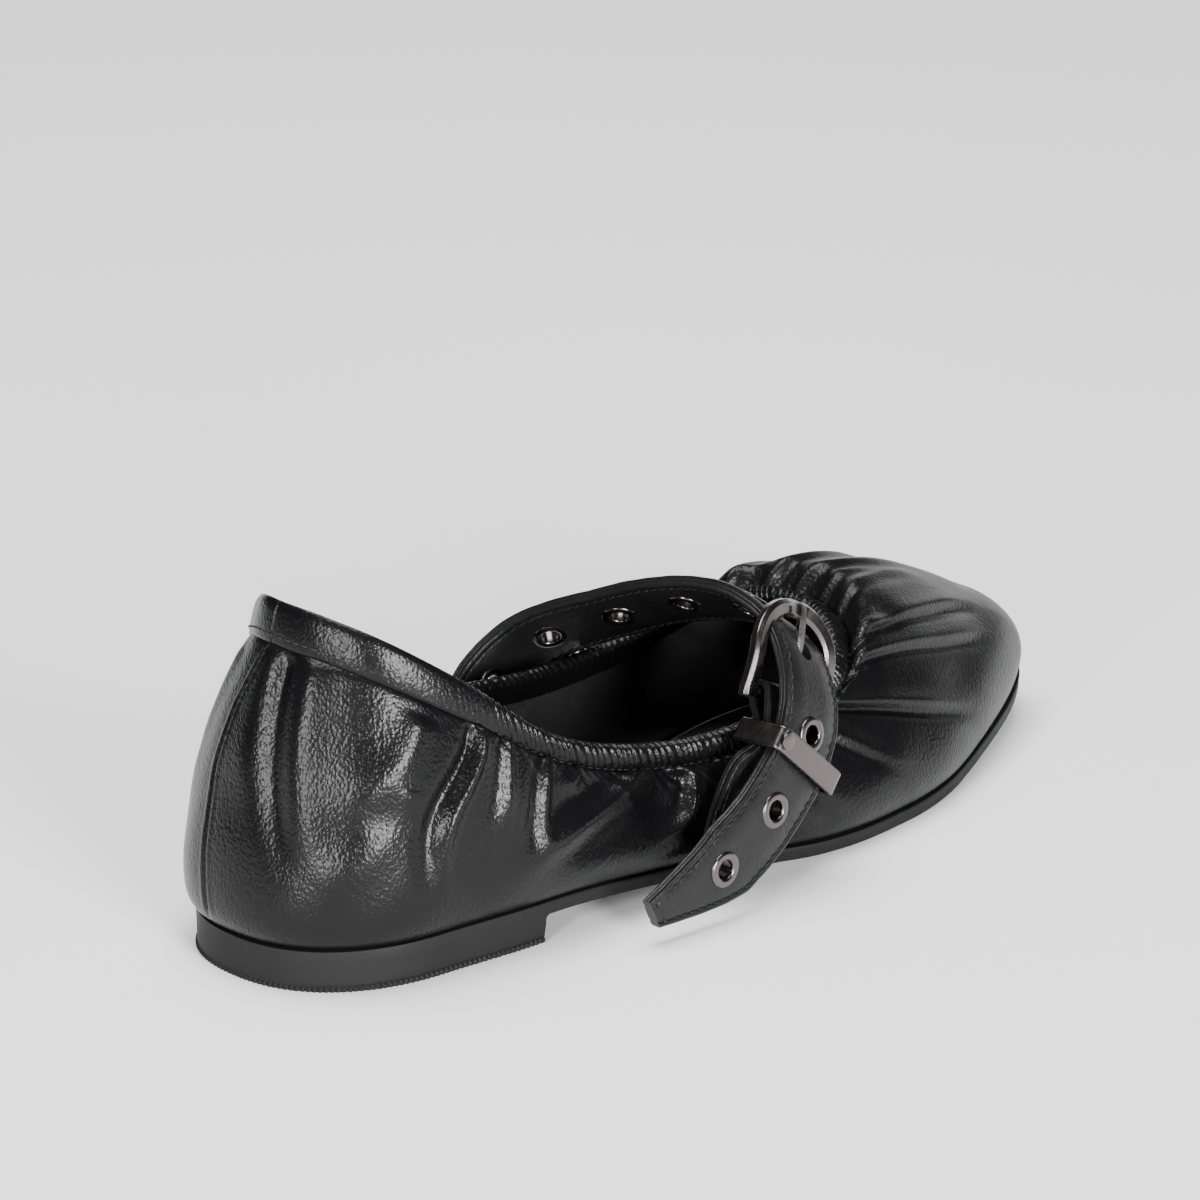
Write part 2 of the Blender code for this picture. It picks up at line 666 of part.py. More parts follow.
def make_frame(name, clearance, collection):
    """A flat bar bent to a U with a round end, its two arms reaching the pin."""
    pin, far, forward, across, out = BUCKLE
    half = STRAP_WIDTH / 2 + FRAME_PLAY + FRAME_BAR / 2
    length = np.linalg.norm(far - pin)
    straight = length - FRAME_ROUND
    rings = []
    stops = [(-half, run, 0) for run in np.linspace(-FRAME_BAR / 2, straight, 5)]
    for angle in np.linspace(0, math.pi, 13)[1:-1]:
        stops.append((-half * math.cos(angle), straight + FRAME_ROUND * math.sin(angle), angle))
    stops += [(half, run, math.pi) for run in np.linspace(straight, -FRAME_BAR / 2, 5)]
    for side, run, angle in stops:
        outward = -math.cos(angle) * across + math.sin(angle) * forward
        bow = FRAME_BOW * math.sin(math.pi * min(max(run / length, 0), 1))
        centre = pin + side * across + run * forward + bow * out
        rings.append(bar_ring(centre, outward, out, FRAME_BAR / 2 + clearance, FRAME_DEPTH / 2 + clearance,
                              FRAME_DEPTH * 0.28))
    return loft(name, rings, False, collection)


def make_pin(collection):
    pin, _, forward, across, out = BUCKLE
    length = STRAP_WIDTH + 2 * FRAME_PLAY - 2 * GAP
    bpy.ops.mesh.primitive_cylinder_add(vertices=16, radius=PIN_DIAMETER / 2, depth=length)
    item = bpy.context.object
    item.name = "buckle_pin"
    item.data.name = "buckle_pin"
    move_to(item, collection)
    item.matrix_world = basis(pin, forward, out, across)
    return item


def move_to(item, collection):
    for holder in item.users_collection:
        holder.objects.unlink(item)
    collection.objects.link(item)


def prong_stops():
    """The prong's middle line: round the pin, up through the strap and onto the frame's round end."""
    pin, far, forward, across, out = BUCKLE
    reach = PIN_DIAMETER / 2 + GAP + PRONG_THICKNESS / 2
    rest = FRAME_DEPTH / 2 + GAP + PRONG_THICKNESS / 2
    length = np.linalg.norm(far - pin)
    stops = [(reach * math.cos(a), reach * math.sin(a)) for a in np.radians(np.arange(300, 60, -24))]
    stops += [(length * 0.34, rest * 0.72), (length * 0.62, rest * 1.02), (length * 0.85, rest),
              (length, rest), (length + FRAME_BAR * 0.36, rest)]
    return [pin + a * forward + b * out for a, b in stops]


def make_prong(name, clearance, collection):
    pin, far, forward, across, out = BUCKLE
    points = np.array(prong_stops())
    tangent = unit(np.gradient(points, axis=0))
    rings = []
    for k, centre in enumerate(points):
        normal = unit(np.cross(across, tangent[k]))
        rings.append(bar_ring(centre, across, normal, PRONG_WIDTH / 2 + clearance,
                              PRONG_THICKNESS / 2 + clearance, PRONG_THICKNESS * 0.25))
    return loft(name, rings, False, collection)


def make_short_strap(collection, cutters):
    """Two layers of one thin strap, folded round the pin, with a slot at the fold for the prong."""
    centre, width, normal, tangent, length = LAYER
    left = np.linspace(length, 0, len(centre))
    turn_radius = PIN_DIAMETER / 2 + GAP + LAYER_THICKNESS / 2
    spread = LAYER_THICKNESS / 2 + GAP / 2
    offset = spread + (turn_radius - spread) * (1 - smooth(left / 0.010))
    rings = []
    for k in range(len(centre)):
        skew = np.linalg.norm(np.cross(width[k], tangent[k]))
        shift = offset[k] * smooth((length - left[k]) / 0.008)
        rings.append(bar_ring(centre[k] - shift * normal[k], width[k], -normal[k],
                              LAYER_WIDTH / 2 / skew, LAYER_THICKNESS / 2, LAYER_THICKNESS * 0.2))
    top_width, top_normal = width[-1], normal[-1]
    climb = unit(np.cross(top_normal, top_width))
    if climb.dot(tangent[-1]) < 0:
        climb = -climb
    for angle in np.linspace(0, math.pi, 9)[1:-1]:
        radial = -math.cos(angle) * top_normal + math.sin(angle) * climb
        rings.append(bar_ring(centre[-1] + turn_radius * radial, top_width, radial,
                              LAYER_WIDTH / 2, LAYER_THICKNESS / 2, LAYER_THICKNESS * 0.2))
    for k in range(len(centre) - 1, int(len(centre) * 0.36), -1):
        skew = np.linalg.norm(np.cross(width[k], tangent[k]))
        rings.append(bar_ring(centre[k] + offset[k] * normal[k], width[k], normal[k],
                              LAYER_WIDTH / 2 / skew, LAYER_THICKNESS / 2, LAYER_THICKNESS * 0.2))
    item = loft("buckle_strap", rings, False, collection)
    bpy.ops.mesh.primitive_cube_add(size=1.0)
    slot = bpy.context.object
    slot.name = "prong_slot_cutter"
    move_to(slot, cutters)
    size = Matrix.Diagonal((PRONG_SLOT, PRONG_WIDTH + 2 * SIDE_PLAY, PRONG_SLOT * 2, 1))
    slot.matrix_world = basis(centre[-1] + climb * turn_radius * 0.4, climb, top_width, top_normal) @ size
    as_cutter(slot)
    boolean(item, slot, "DIFFERENCE")
    return item


def make_keeper(collection):
    """A flat metal loop round both straps, standing square to them."""
    middle, width, normal, tangent = at_share(STRAP, KEEPER_SHARE)
    width, normal = unit(width), unit(normal)
    normal = unit(normal - width * normal.dot(width))
    path = unit(np.cross(width, normal))
    half = STRAP_WIDTH / 2 + SIDE_PLAY + KEEPER_THICKNESS / 2
    front = keeper_front()
    back = front - KEEPER_DEPTH
    corner = KEEPER_THICKNESS * 0.75
    rings = []
    for a, b, start in ((1, 1, 0), (-1, 1, 90), (-1, -1, 180), (1, -1, 270)):
        corner_width = a * (half - corner)
        corner_depth = (front if b > 0 else back) - b * corner
        for angle in np.radians([start, start + 45, start + 90]):
            outward = math.cos(angle) * width + math.sin(angle) * normal
            centre = middle + corner_width * width + corner_depth * normal + corner * outward
            rings.append(bar_ring(centre, path, outward, KEEPER_BAR / 2, KEEPER_THICKNESS / 2,
                                  KEEPER_THICKNESS * 0.22))
    return loft("keeper", rings, True, collection)


def clear_scene():
    for item in list(bpy.data.objects):
        bpy.data.objects.remove(item, do_unlink=True)


clear_scene()
ballet_flat = bpy.data.collections.new("ballet_flat")
cutter_box = bpy.data.collections.new("cutters")
for holder in (ballet_flat, cutter_box):
    bpy.context.scene.collection.children.link(holder)

STRAP = path_of(table_stops(STRAP_PATH), 1, STRAP_THICKNESS, 50)
BUCKLE = buckle_axes()
LAYER = layer_path()

leather = material("gathered_leather", (0.012, 0.012, 0.013), 0.34, 0.0)
strap_leather = material("strap_leather", (0.018, 0.018, 0.019), 0.45, 0.0)
lining = material("lining", (0.010, 0.010, 0.010), 0.75, 0.0)
rubber = material("sole_rubber", (0.020, 0.020, 0.021), 0.72, 0.0)
metal = material("dark_nickel", (0.33, 0.31, 0.31), 0.24, 1.0)

outsole = make_outsole(ballet_flat)
insole = make_insole(ballet_flat)
upper = make_upper(ballet_flat)
strap = make_strap(ballet_flat)
eyelets = make_eyelets(strap, ballet_flat, cutter_box)
short_strap = make_short_strap(ballet_flat, cutter_box)
frame = make_frame("buckle_frame", 0.0, ballet_flat)
pin = make_pin(ballet_flat)
prong = make_prong("buckle_prong", 0.0, ballet_flat)
for cutter in (make_prong("prong_cutter", GAP + SIDE_PLAY / 2, cutter_box),
               make_frame("frame_cutter", GAP, cutter_box)):
    as_cutter(cutter)
    boolean(strap, cutter, "DIFFERENCE")
keeper = make_keeper(ballet_flat)

for item, finish in ((outsole, rubber), (insole, lining), (upper, leather), (strap, strap_leather),
                     (short_strap, strap_leather), (frame, metal), (pin, metal), (prong, metal),
                     (keeper, metal)):
    paint(item, finish)
    shade(item)
for item in eyelets:
    paint(item, metal)
    shade(item)
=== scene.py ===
# %% [markdown]
# # A gathered ballet flat with a buckled strap
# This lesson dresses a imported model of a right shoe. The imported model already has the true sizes: a
# thin sole with a low heel, a hollow upper, a long strap through a buckle and a short strap that
# carries it. What it lacks is everything that makes leather look like leather: the ruched elastic
# edge, the pleats that run out of it, the folded hem, the stitches, the rolled eyelets and the
# finish of each material. Each piece below is made anew in the same place and then stands for the
# plain solid.
#
# The shoe stands on its sole with the toe along +X, the inner side along +Y and the buckle on -Y.

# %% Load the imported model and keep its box
import math

import bmesh
import bpy
import numpy as np
from mathutils import Matrix, Vector


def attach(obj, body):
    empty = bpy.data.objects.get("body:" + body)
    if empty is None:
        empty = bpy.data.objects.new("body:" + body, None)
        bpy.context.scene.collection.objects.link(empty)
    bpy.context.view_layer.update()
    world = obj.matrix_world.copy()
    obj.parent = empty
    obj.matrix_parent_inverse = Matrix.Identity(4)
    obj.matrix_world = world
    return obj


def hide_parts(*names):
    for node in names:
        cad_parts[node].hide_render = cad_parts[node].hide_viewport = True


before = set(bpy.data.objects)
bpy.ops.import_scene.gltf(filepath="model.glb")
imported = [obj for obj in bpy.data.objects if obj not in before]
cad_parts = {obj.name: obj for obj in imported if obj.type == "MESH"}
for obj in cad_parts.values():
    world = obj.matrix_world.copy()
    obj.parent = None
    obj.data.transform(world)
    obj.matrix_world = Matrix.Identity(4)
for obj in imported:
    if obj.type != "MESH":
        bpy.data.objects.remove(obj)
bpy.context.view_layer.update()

# %% [markdown]
# ## Sizes
# A shoe is drawn from a few sizes of the last it is made on. These are the same named sizes as in
# the solid model, in metres, so every new piece lands exactly where the solid is.

# %% Sizes of sole, upper, strap and buckle
SOLE_LENGTH, BALL_WIDTH, HEEL_WIDTH = 0.2450, 0.0765, 0.0595
HEEL_HEIGHT, HEEL_LENGTH, OUTSOLE_THICKNESS, TOE_SPRING = 0.0092, 0.0612, 0.0032, 0.0085
BREAST_CURVE, BREAST_SLOPE, ORIGIN_FROM_BACK = 0.0035, 0.0008, 0.0320
COUNTER_TOP, THROAT_TOP = 0.0815, 0.0440
WALL, HEM_WALL, HEM_WIDTH, BAND_WIDTH = 0.0017, 0.0026, 0.0090, 0.0056
RIM, SWELL, CROWN, INSOLE_THICKNESS = 0.0024, 0.0055, 0.0060, 0.0028
STRAP_WIDTH, STRAP_THICKNESS, TIP_TAPER, TIP_END = 0.0198, 0.0030, 0.0240, 0.36
EYELET_PITCH, EYELET_HOLE, EYELET_FLANGE, EYELET_RIM = 0.0190, 0.0056, 0.0084, 0.0006
LAYER_THICKNESS, LAYER_WIDTH, FOOT_DROP = 0.0014, 0.0182, 0.0022
PIN_DIAMETER, FRAME_BAR, FRAME_DEPTH, FRAME_ROUND = 0.0024, 0.0030, 0.0030, 0.0098
FRAME_PLAY, FRAME_LIFT, FRAME_BOW, PIN_DEPTH = 0.0010, 0.0012, 0.0015, 0.0072
PRONG_WIDTH, PRONG_THICKNESS = 0.0022, 0.0018
KEEPER_BAR, KEEPER_THICKNESS, KEEPER_DEPTH, KEEPER_TO_LAYER = 0.0056, 0.0018, 0.0130, 0.0046
GAP, SIDE_PLAY = 0.0003, 0.0006
MM = 0.001

# %% [markdown]
# ## Reading a pattern table
# A pattern cutter notes a shape as a few measured rows and draws a fair curve through them. The
# small class below does that: named columns, and a curve that never overshoots between rows.

# %% A table that is read as a smooth curve
class Table:
    def __init__(self, columns, rows):
        self.data = {name: np.array(values, float) for name, values in zip(columns, zip(*rows))}
        self.place = self.data[columns[0]]

    def read(self, column, place):
        x, y = self.place, self.data[column]
        step = np.diff(x)
        slope = np.diff(y) / step
        before, after = slope[:-1], slope[1:]
        same_way = before * after > 0
        tangent = np.zeros(len(x))
        tangent[1:-1] = np.where(same_way, 2 * before * after / np.where(same_way, before + after, 1.0), 0.0)
        tangent[0], tangent[-1] = slope[0], slope[-1]
        place = np.clip(np.asarray(place, float), x[0], x[-1])
        i = np.clip(np.searchsorted(x, place, side="right") - 1, 0, len(step) - 1)
        t = (place - x[i]) / step[i]
        start = (1 + 2 * t) * (1 - t) ** 2 * y[i] + t * (1 - t) ** 2 * step[i] * tangent[i]
        end = t * t * (3 - 2 * t) * y[i + 1] + t * t * (t - 1) * step[i] * tangent[i + 1]
        return start + end


def smooth(value):
    value = np.clip(value, 0.0, 1.0)
    return value * value * (3 - 2 * value)


def unit(vectors):
    return vectors / np.linalg.norm(vectors, axis=-1, keepdims=True)


def along(share):
    return share * SOLE_LENGTH - ORIGIN_FROM_BACK


# %% The last's plan, its feather edge and the topline
PLAN = Table(
    ("along", "lateral_heel", "lateral_ball", "medial_heel", "medial_ball"), (
        (0.00, 0.88, 0.00, 1.12, 0.00),
        (0.14, 0.95, 0.00, 1.05, 0.00),
        (0.25, 1.02, 0.00, 0.92, 0.00),
        (0.40, 0.52, 0.40, 0.40, 0.30),
        (0.54, 0.00, 0.93, 0.00, 0.70),
        (0.62, 0.00, 1.00, 0.00, 0.84),
        (0.69, 0.00, 0.96, 0.00, 0.95),
        (0.76, 0.00, 0.87, 0.00, 1.00),
        (0.88, 0.00, 0.68, 0.00, 0.90),
        (1.00, 0.00, 0.57, 0.00, 0.75)))
HEEL_ROUND, HEEL_POWER, HEEL_SWING = 0.14, 2.3, 0.10
TOE_ROUND, TOE_POWER, TOE_SWING = 0.30, 2.0, 0.13

RISE = Table(
    ("along", "heel", "toe"), (
        (0.00, 1.00, 0.00),
        (0.12, 1.00, 0.00),
        (0.25, 0.97, 0.00),
        (0.40, 0.56, 0.00),
        (0.52, 0.12, 0.00),
        (0.58, 0.00, 0.00),
        (0.74, 0.00, 0.00),
        (0.84, 0.00, 0.20),
        (0.92, 0.00, 0.52),
        (1.00, 0.00, 1.00)))

TOPLINE = Table(
    ("half", "reach", "lateral", "medial", "counter", "throat", "lift",
     "swell_lateral", "swell_medial", "belly", "dome", "band", "lean"), (
        (0.0, 0.068, 0.09, 0.09, 1.000, 0.00, 0.00, 0.60, 0.60, 0.42, 0.30, 0.0, 1.30),
        (0.1, 0.078, -0.20, 0.33, 0.985, 0.00, 0.00, 0.70, 0.70, 0.42, 0.30, 0.0, 1.30),
        (0.2, 0.110, -0.49, 0.57, 0.925, 0.00, -0.03, 0.85, 0.85, 0.46, 0.30, 0.0, 1.32),
        (0.3, 0.175, -0.69, 0.69, 0.785, 0.00, -0.14, 0.90, 0.90, 0.52, 0.28, 0.3, 1.35),
        (0.4, 0.280, -0.75, 0.71, 0.310, 0.46, -0.08, 0.85, 0.85, 0.56, 0.22, 1.0, 1.35),
        (0.5, 0.421, -0.74, 0.67, 0.000, 0.81, 0.02, 0.75, 0.90, 0.60, 0.22, 1.0, 1.30),
        (0.6, 0.556, -0.72, 0.70, 0.000, 0.79, 0.03, 0.70, 0.85, 0.60, 0.32, 1.0, 1.15),
        (0.7, 0.628, -0.62, 0.66, 0.000, 0.86, 0.02, 0.70, 0.80, 0.60, 0.58, 1.0, 0.85),
        (0.8, 0.665, -0.42, 0.52, 0.000, 0.94, 0.02, 0.50, 0.60, 0.60, 0.85, 1.0, 0.55),
        (0.9, 0.686, -0.17, 0.31, 0.000, 0.985, 0.01, 0.30, 0.35, 0.60, 1.00, 1.0, 0.35),
        (1.0, 0.693, 0.08, 0.08, 0.000, 1.00, 0.00, 0.20, 0.20, 0.60, 1.00, 1.0, 0.30)))

# %% The feather edge and the free edge as functions of a turn round the shoe
def plan_breadth(share, side):
    name = "lateral" if side < 0 else "medial"
    half = PLAN.read(name + "_heel", share) * HEEL_WIDTH + PLAN.read(name + "_ball", share) * BALL_WIDTH
    y = side * half / 2
    back = np.clip(1 - share / HEEL_ROUND, 0, 1)
    middle = HEEL_SWING * HEEL_WIDTH / 2
    y = middle + (y - middle) * (1 - back ** HEEL_POWER) ** (1 / HEEL_POWER)
    front = np.clip((share - 1 + TOE_ROUND) / TOE_ROUND, 0, 1)
    middle = TOE_SWING * BALL_WIDTH / 2 * smooth(front * 4)
    return middle + (y - middle) * (1 - front ** TOE_POWER) ** (1 / TOE_POWER)


def feather_height(share):
    lift = HEEL_HEIGHT - OUTSOLE_THICKNESS
    return OUTSOLE_THICKNESS + RISE.read("heel", share) * lift + RISE.read("toe", share) * TOE_SPRING


def feather_line(turn, inset=0.0):
    turn = np.asarray(turn, float) % 1.0
    share = (1 - np.cos(np.pi * (1 - np.abs(1 - 2 * turn)))) / 2
    y = np.where(turn <= 0.5, plan_breadth(share, -1), plan_breadth(share, 1))
    line = np.stack([along(share), y, feather_height(share)], -1)
    if inset:
        line[..., :2] -= inset * plan_outward(turn)
    return line


def plan_outward(turn):
    step = 0.002
    flow = feather_line(turn + step)[..., :2] - feather_line(turn - step)[..., :2]
    return unit(np.stack([flow[..., 1], -flow[..., 0]], -1))


def around(values, turn):
    count = len(values)
    place = (np.asarray(turn, float) % 1.0) * count
    i = np.floor(place).astype(int) % count
    t = place - np.floor(place)
    before, start = values[(i - 1) % count], values[i]
    end, after = values[(i + 1) % count], values[(i + 2) % count]
    flow_in, flow_out = (end - before) / 2, (after - start) / 2
    return ((1 + 2 * t) * (1 - t) ** 2 * start + t * (1 - t) ** 2 * flow_in
            + t * t * (3 - 2 * t) * end + t * t * (t - 1) * flow_out)


def topline_value(name, turn, medial=None):
    lateral_values = TOPLINE.data[name]
    medial_values = TOPLINE.data[medial or name]
    return around(np.concatenate([lateral_values, medial_values[-2:0:-1]]), turn)


def topline(turn):
    turn = np.asarray(turn, float) % 1.0
    lift = np.concatenate([TOPLINE.data["lift"] * 0, TOPLINE.data["lift"][-2:0:-1]])
    throat = topline_value("throat", turn) + around(lift, turn)
    return np.stack([along(topline_value("reach", turn)),
                     topline_value("lateral", turn, "medial") * BALL_WIDTH / 2,
                     topline_value("counter", turn) * COUNTER_TOP + throat * THROAT_TOP], -1)


def band_share(turn):
    return np.clip(topline_value("band", turn), 0, 1)


def edge_outward(turn):
    step = 0.004
    flow = topline(turn + step)[..., :2] - topline(turn - step)[..., :2]
    return unit(np.stack([flow[..., 1], -flow[..., 0]], -1))


def stitch_line(turn):
    edge = topline(turn)
    lean = topline_value("lean", turn)
    width = HEM_WIDTH + (BAND_WIDTH - HEM_WIDTH) * band_share(turn)
    level = (width * np.cos(lean))[..., None] * edge_outward(turn)
    return np.concatenate([edge[..., :2] + level, (edge[..., 2] - width * np.sin(lean))[..., None]], -1)


def wall_point(turn, height):
    turn, height = np.broadcast_arrays(np.asarray(turn, float), np.asarray(height, float))
    foot = feather_line(turn, RIM)
    foot[..., 2] += GAP
    top = stitch_line(turn)
    dome = np.clip(topline_value("dome", turn), 0, 1)
    angle = height * math.pi / 2
    rise = height + dome * (np.sin(angle) - height)
    reach = height + dome * (1 - np.cos(angle) - height)
    level = foot[..., :2] + (top[..., :2] - foot[..., :2]) * reach[..., None]
    z = foot[..., 2] + (top[..., 2] - foot[..., 2]) * rise
    swell = topline_value("swell_lateral", turn, "swell_medial") * SWELL + RIM
    bulge = np.sin(np.pi * np.clip(height, 0, 1) ** topline_value("belly", turn)) ** 0.9
    level = level + (swell * bulge)[..., None] * plan_outward(turn)
    fullness = smooth((dome - 0.35) / 0.6)
    puff = smooth((height - 0.45) / 0.45) * (1 - smooth((height - 0.93) / 0.07))
    return np.concatenate([level, (z + CROWN * fullness * puff)[..., None]], -1)


# %% Meshes from grids of points
def new_piece(name, points, faces, edge_degrees=40):
    mesh = bpy.data.meshes.new(name)
    points = np.asarray(points, np.float32)
    mesh.vertices.add(len(points))
    mesh.vertices.foreach_set("co", points.ravel())
    sizes = np.array([len(face) for face in faces], np.int32)
    mesh.loops.add(int(sizes.sum()))
    mesh.loops.foreach_set("vertex_index", np.concatenate([np.asarray(face, np.int32) for face in faces]))
    mesh.polygons.add(len(faces))
    mesh.polygons.foreach_set("loop_start", np.concatenate([[0], np.cumsum(sizes)[:-1]]).astype(np.int32))
    mesh.update(calc_edges=True)
    mesh.validate()
    piece = bpy.data.objects.new(name, mesh)
    bpy.context.scene.collection.objects.link(piece)
    finish_mesh(piece, edge_degrees)
    return piece


def only(piece):
    bpy.ops.object.select_all(action="DESELECT")
    piece.select_set(True)
    bpy.context.view_layer.objects.active = piece


def finish_mesh(piece, edge_degrees):
    only(piece)
    bpy.ops.object.mode_set(mode="EDIT")
    bpy.ops.mesh.select_all(action="SELECT")
    bpy.ops.mesh.remove_doubles(threshold=0.000001)
    bpy.ops.mesh.normals_make_consistent(inside=False)
    bpy.ops.object.mode_set(mode="OBJECT")
    bpy.ops.object.shade_smooth_by_angle(angle=math.radians(edge_degrees))


def grid_faces(rows, columns, closed_columns=False, closed_rows=False, first=0):
    r = np.arange(rows if closed_rows else rows - 1)[:, None]
    c = np.arange(columns if closed_columns else columns - 1)[None, :]
    r2, c2 = (r + 1) % rows, (c + 1) % columns
    quads = np.stack([r * columns + c, r * columns + c2, r2 * columns + c2, r2 * columns + c], -1)
    return (quads.reshape(-1, 4) + first).tolist()


def loft(name, rings, edge_degrees=40, closed_path=False):
    rings = np.asarray(rings)
    count, size = rings.shape[:2]
    faces = grid_faces(count, size, closed_columns=True, closed_rows=closed_path)
    if not closed_path:
        faces.append(list(range(size))[::-1])
        faces.append([(count - 1) * size + k for k in range(size)])
    return new_piece(name, rings.reshape(-1, 3), faces, edge_degrees)


def normals_of(points, closed=True):
    """Outward directions of a grid whose rows run up and whose columns run round the shoe."""
    if closed:
        across = np.roll(points, -1, 1) - np.roll(points, 1, 1)
    else:
        across = np.gradient(points, axis=1)
    return unit(np.cross(across, np.gradient(points, axis=0)))


# %% [markdown]
# ## The gathered upper
# The real upper is one soft piece of leather pulled in by an elastic. Two things shape its surface.
# Short pleats start at the stitches in great number and die out after a centimetre or two. A few
# long folds run on down to the sole, where the leather has too much length. A cloth simulation
# would place them by chance, but here they have to sit where they do on the real shoe. So the
# surface is a fine grid, and each fold is a soft ridge or trough along a short path that is given:
# how far round the shoe, and how high up the wall.

# %% Paths of the long folds
# Each fold: its path of (turn, height), its height above the wall in mm, half its width in mm, how
# much narrower its far side is, and the depth in mm of the trough beside it.
FOLDS = [
    # vamp, from the throat towards the toe
    ([(0.392, 1.00), (0.398, 0.88), (0.416, 0.74), (0.437, 0.62), (0.455, 0.50)], 1.15, 1.15, 2.1, 1.0),
    ([(0.368, 1.00), (0.375, 0.86), (0.391, 0.68), (0.411, 0.54), (0.428, 0.42)], 1.10, 1.15, 2.1, 0.9),
    ([(0.331, 1.00), (0.335, 0.88), (0.345, 0.68), (0.357, 0.50), (0.374, 0.28)], 1.15, 1.10, 2.0, 1.3),
    ([(0.306, 1.00), (0.310, 0.84), (0.311, 0.71), (0.314, 0.55), (0.321, 0.30)], 0.70, 1.15, 2.0, 0.5),
    ([(0.557, 1.00), (0.549, 0.93), (0.546, 0.84), (0.552, 0.72), (0.562, 0.58)], 0.90, 1.6, 1.4, 0.5),
    ([(0.522, 1.00), (0.512, 0.94), (0.503, 0.88), (0.499, 0.78), (0.500, 0.64)], 0.80, 1.5, 1.4, 0.4),
    ([(0.450, 1.00), (0.457, 0.92), (0.468, 0.82), (0.478, 0.70)], 0.60, 1.4, 1.4, 0.3),
    ([(0.486, 1.00), (0.484, 0.93), (0.482, 0.82)], 0.45, 1.4, 1.4, 0.2),
    ([(0.600, 1.00), (0.594, 0.86), (0.592, 0.70), (0.600, 0.50)], 0.95, 2.2, 0.8, 0.6),
    ([(0.636, 1.00), (0.630, 0.84), (0.626, 0.62), (0.622, 0.38)], 1.00, 2.2, 0.8, 0.7),
    ([(0.668, 1.00), (0.664, 0.82), (0.662, 0.60), (0.655, 0.34)], 0.85, 2.2, 0.8, 0.5),
    ([(0.696, 0.98), (0.694, 0.78), (0.690, 0.48)], 0.70, 2.4, 0.8, 0.3),
    ([(0.283, 0.98), (0.285, 0.70), (0.285, 0.42), (0.286, 0.20)], 0.55, 1.9, 0.8, 0.3),
    # outer quarter
    ([(0.154, 1.00), (0.146, 0.78), (0.134, 0.60), (0.121, 0.46), (0.115, 0.30), (0.117, 0.14)],
     1.70, 1.9, 0.9, 1.6),
    ([(0.190, 1.00), (0.184, 0.90), (0.172, 0.62), (0.165, 0.40), (0.166, 0.26)], 1.15, 1.5, 0.9, 0.7),
    ([(0.234, 1.00), (0.219, 0.82), (0.201, 0.62), (0.182, 0.45), (0.166, 0.32), (0.147, 0.16)],
     2.20, 2.7, 1.1, 0.8),
    ([(0.241, 1.00), (0.2485, 0.93), (0.245, 0.80), (0.237, 0.60), (0.231, 0.46), (0.219, 0.34), (0.204, 0.27)],
     1.50, 1.3, 0.8, 0.7),
    ([(0.168, 1.00), (0.161, 0.80), (0.153, 0.56), (0.146, 0.36)], 0.90, 1.7, 0.9, 0.5),
    ([(0.204, 1.00), (0.196, 0.84), (0.187, 0.68)], 0.60, 1.6, 0.9, 0.3),
    ([(0.236, 1.00), (0.229, 0.84), (0.221, 0.72)], 0.70, 1.6, 0.9, 0.4),
    # heel
    ([(0.118, 0.90), (0.101, 0.66), (0.081, 0.51), (0.058, 0.38)], 1.45, 5.0, 1.0, 0.0),
    ([(0.104, 0.58), (0.092, 0.40), (0.070, 0.26), (0.046, 0.20)], 0.90, 4.5, 1.0, 0.0),
    ([(0.043, 0.98), (0.038, 0.72), (0.039, 0.46), (0.048, 0.24)], 0.90, 4.0, 1.2, 0.0),
    ([(0.018, 0.99), (0.017, 0.78), (0.021, 0.58), (0.031, 0.34), (0.044, 0.20)], -1.60, 3.2, 1.0, 0.0),
    ([(0.003, 0.98), (-0.001, 0.78), (0.001, 0.54), (0.017, 0.30)], 0.70, 3.8, 1.0, 0.0),
    ([(0.940, 0.94), (0.934, 0.70), (0.936, 0.44), (0.944, 0.22)], 0.90, 4.5, 0.8, 0.5),
    ([(0.908, 0.90), (0.914, 0.66), (0.926, 0.46)], 0.80, 4.5, 1.0, 0.0),
    # inner quarter
    ([(0.850, 1.00), (0.856, 0.76), (0.866, 0.58), (0.878, 0.34)], 1.50, 2.6, 0.8, 1.4),
    ([(0.818, 1.00), (0.824, 0.80), (0.834, 0.52), (0.842, 0.26)], 1.00, 2.2, 0.8, 0.6),
    ([(0.784, 1.00), (0.796, 0.74), (0.812, 0.50), (0.834, 0.22)], 1.90, 3.8, 0.8, 0.8),
    ([(0.748, 1.00), (0.752, 0.78), (0.762, 0.52), (0.770, 0.24)], 1.20, 2.1, 0.8, 0.9),
    ([(0.722, 1.00), (0.724, 0.76), (0.730, 0.46)], 0.80, 2.0, 0.8, 0.5),
]
HOLLOWS = [((0.226, 0.66), 1.9, 7.0), ((0.130, 0.30), 0.6, 9.0), ((0.092, 0.45), 0.9, 6.0), ((0.405, 0.86), 0.7, 4.0),
           ((0.350, 0.90), 0.6, 4.5), ((0.785, 0.52), 1.2, 8.0), ((0.640, 0.80), 0.7, 5.0)]

# %% How far the leather stands from the plain wall
FOLD_STRENGTH = 1.0


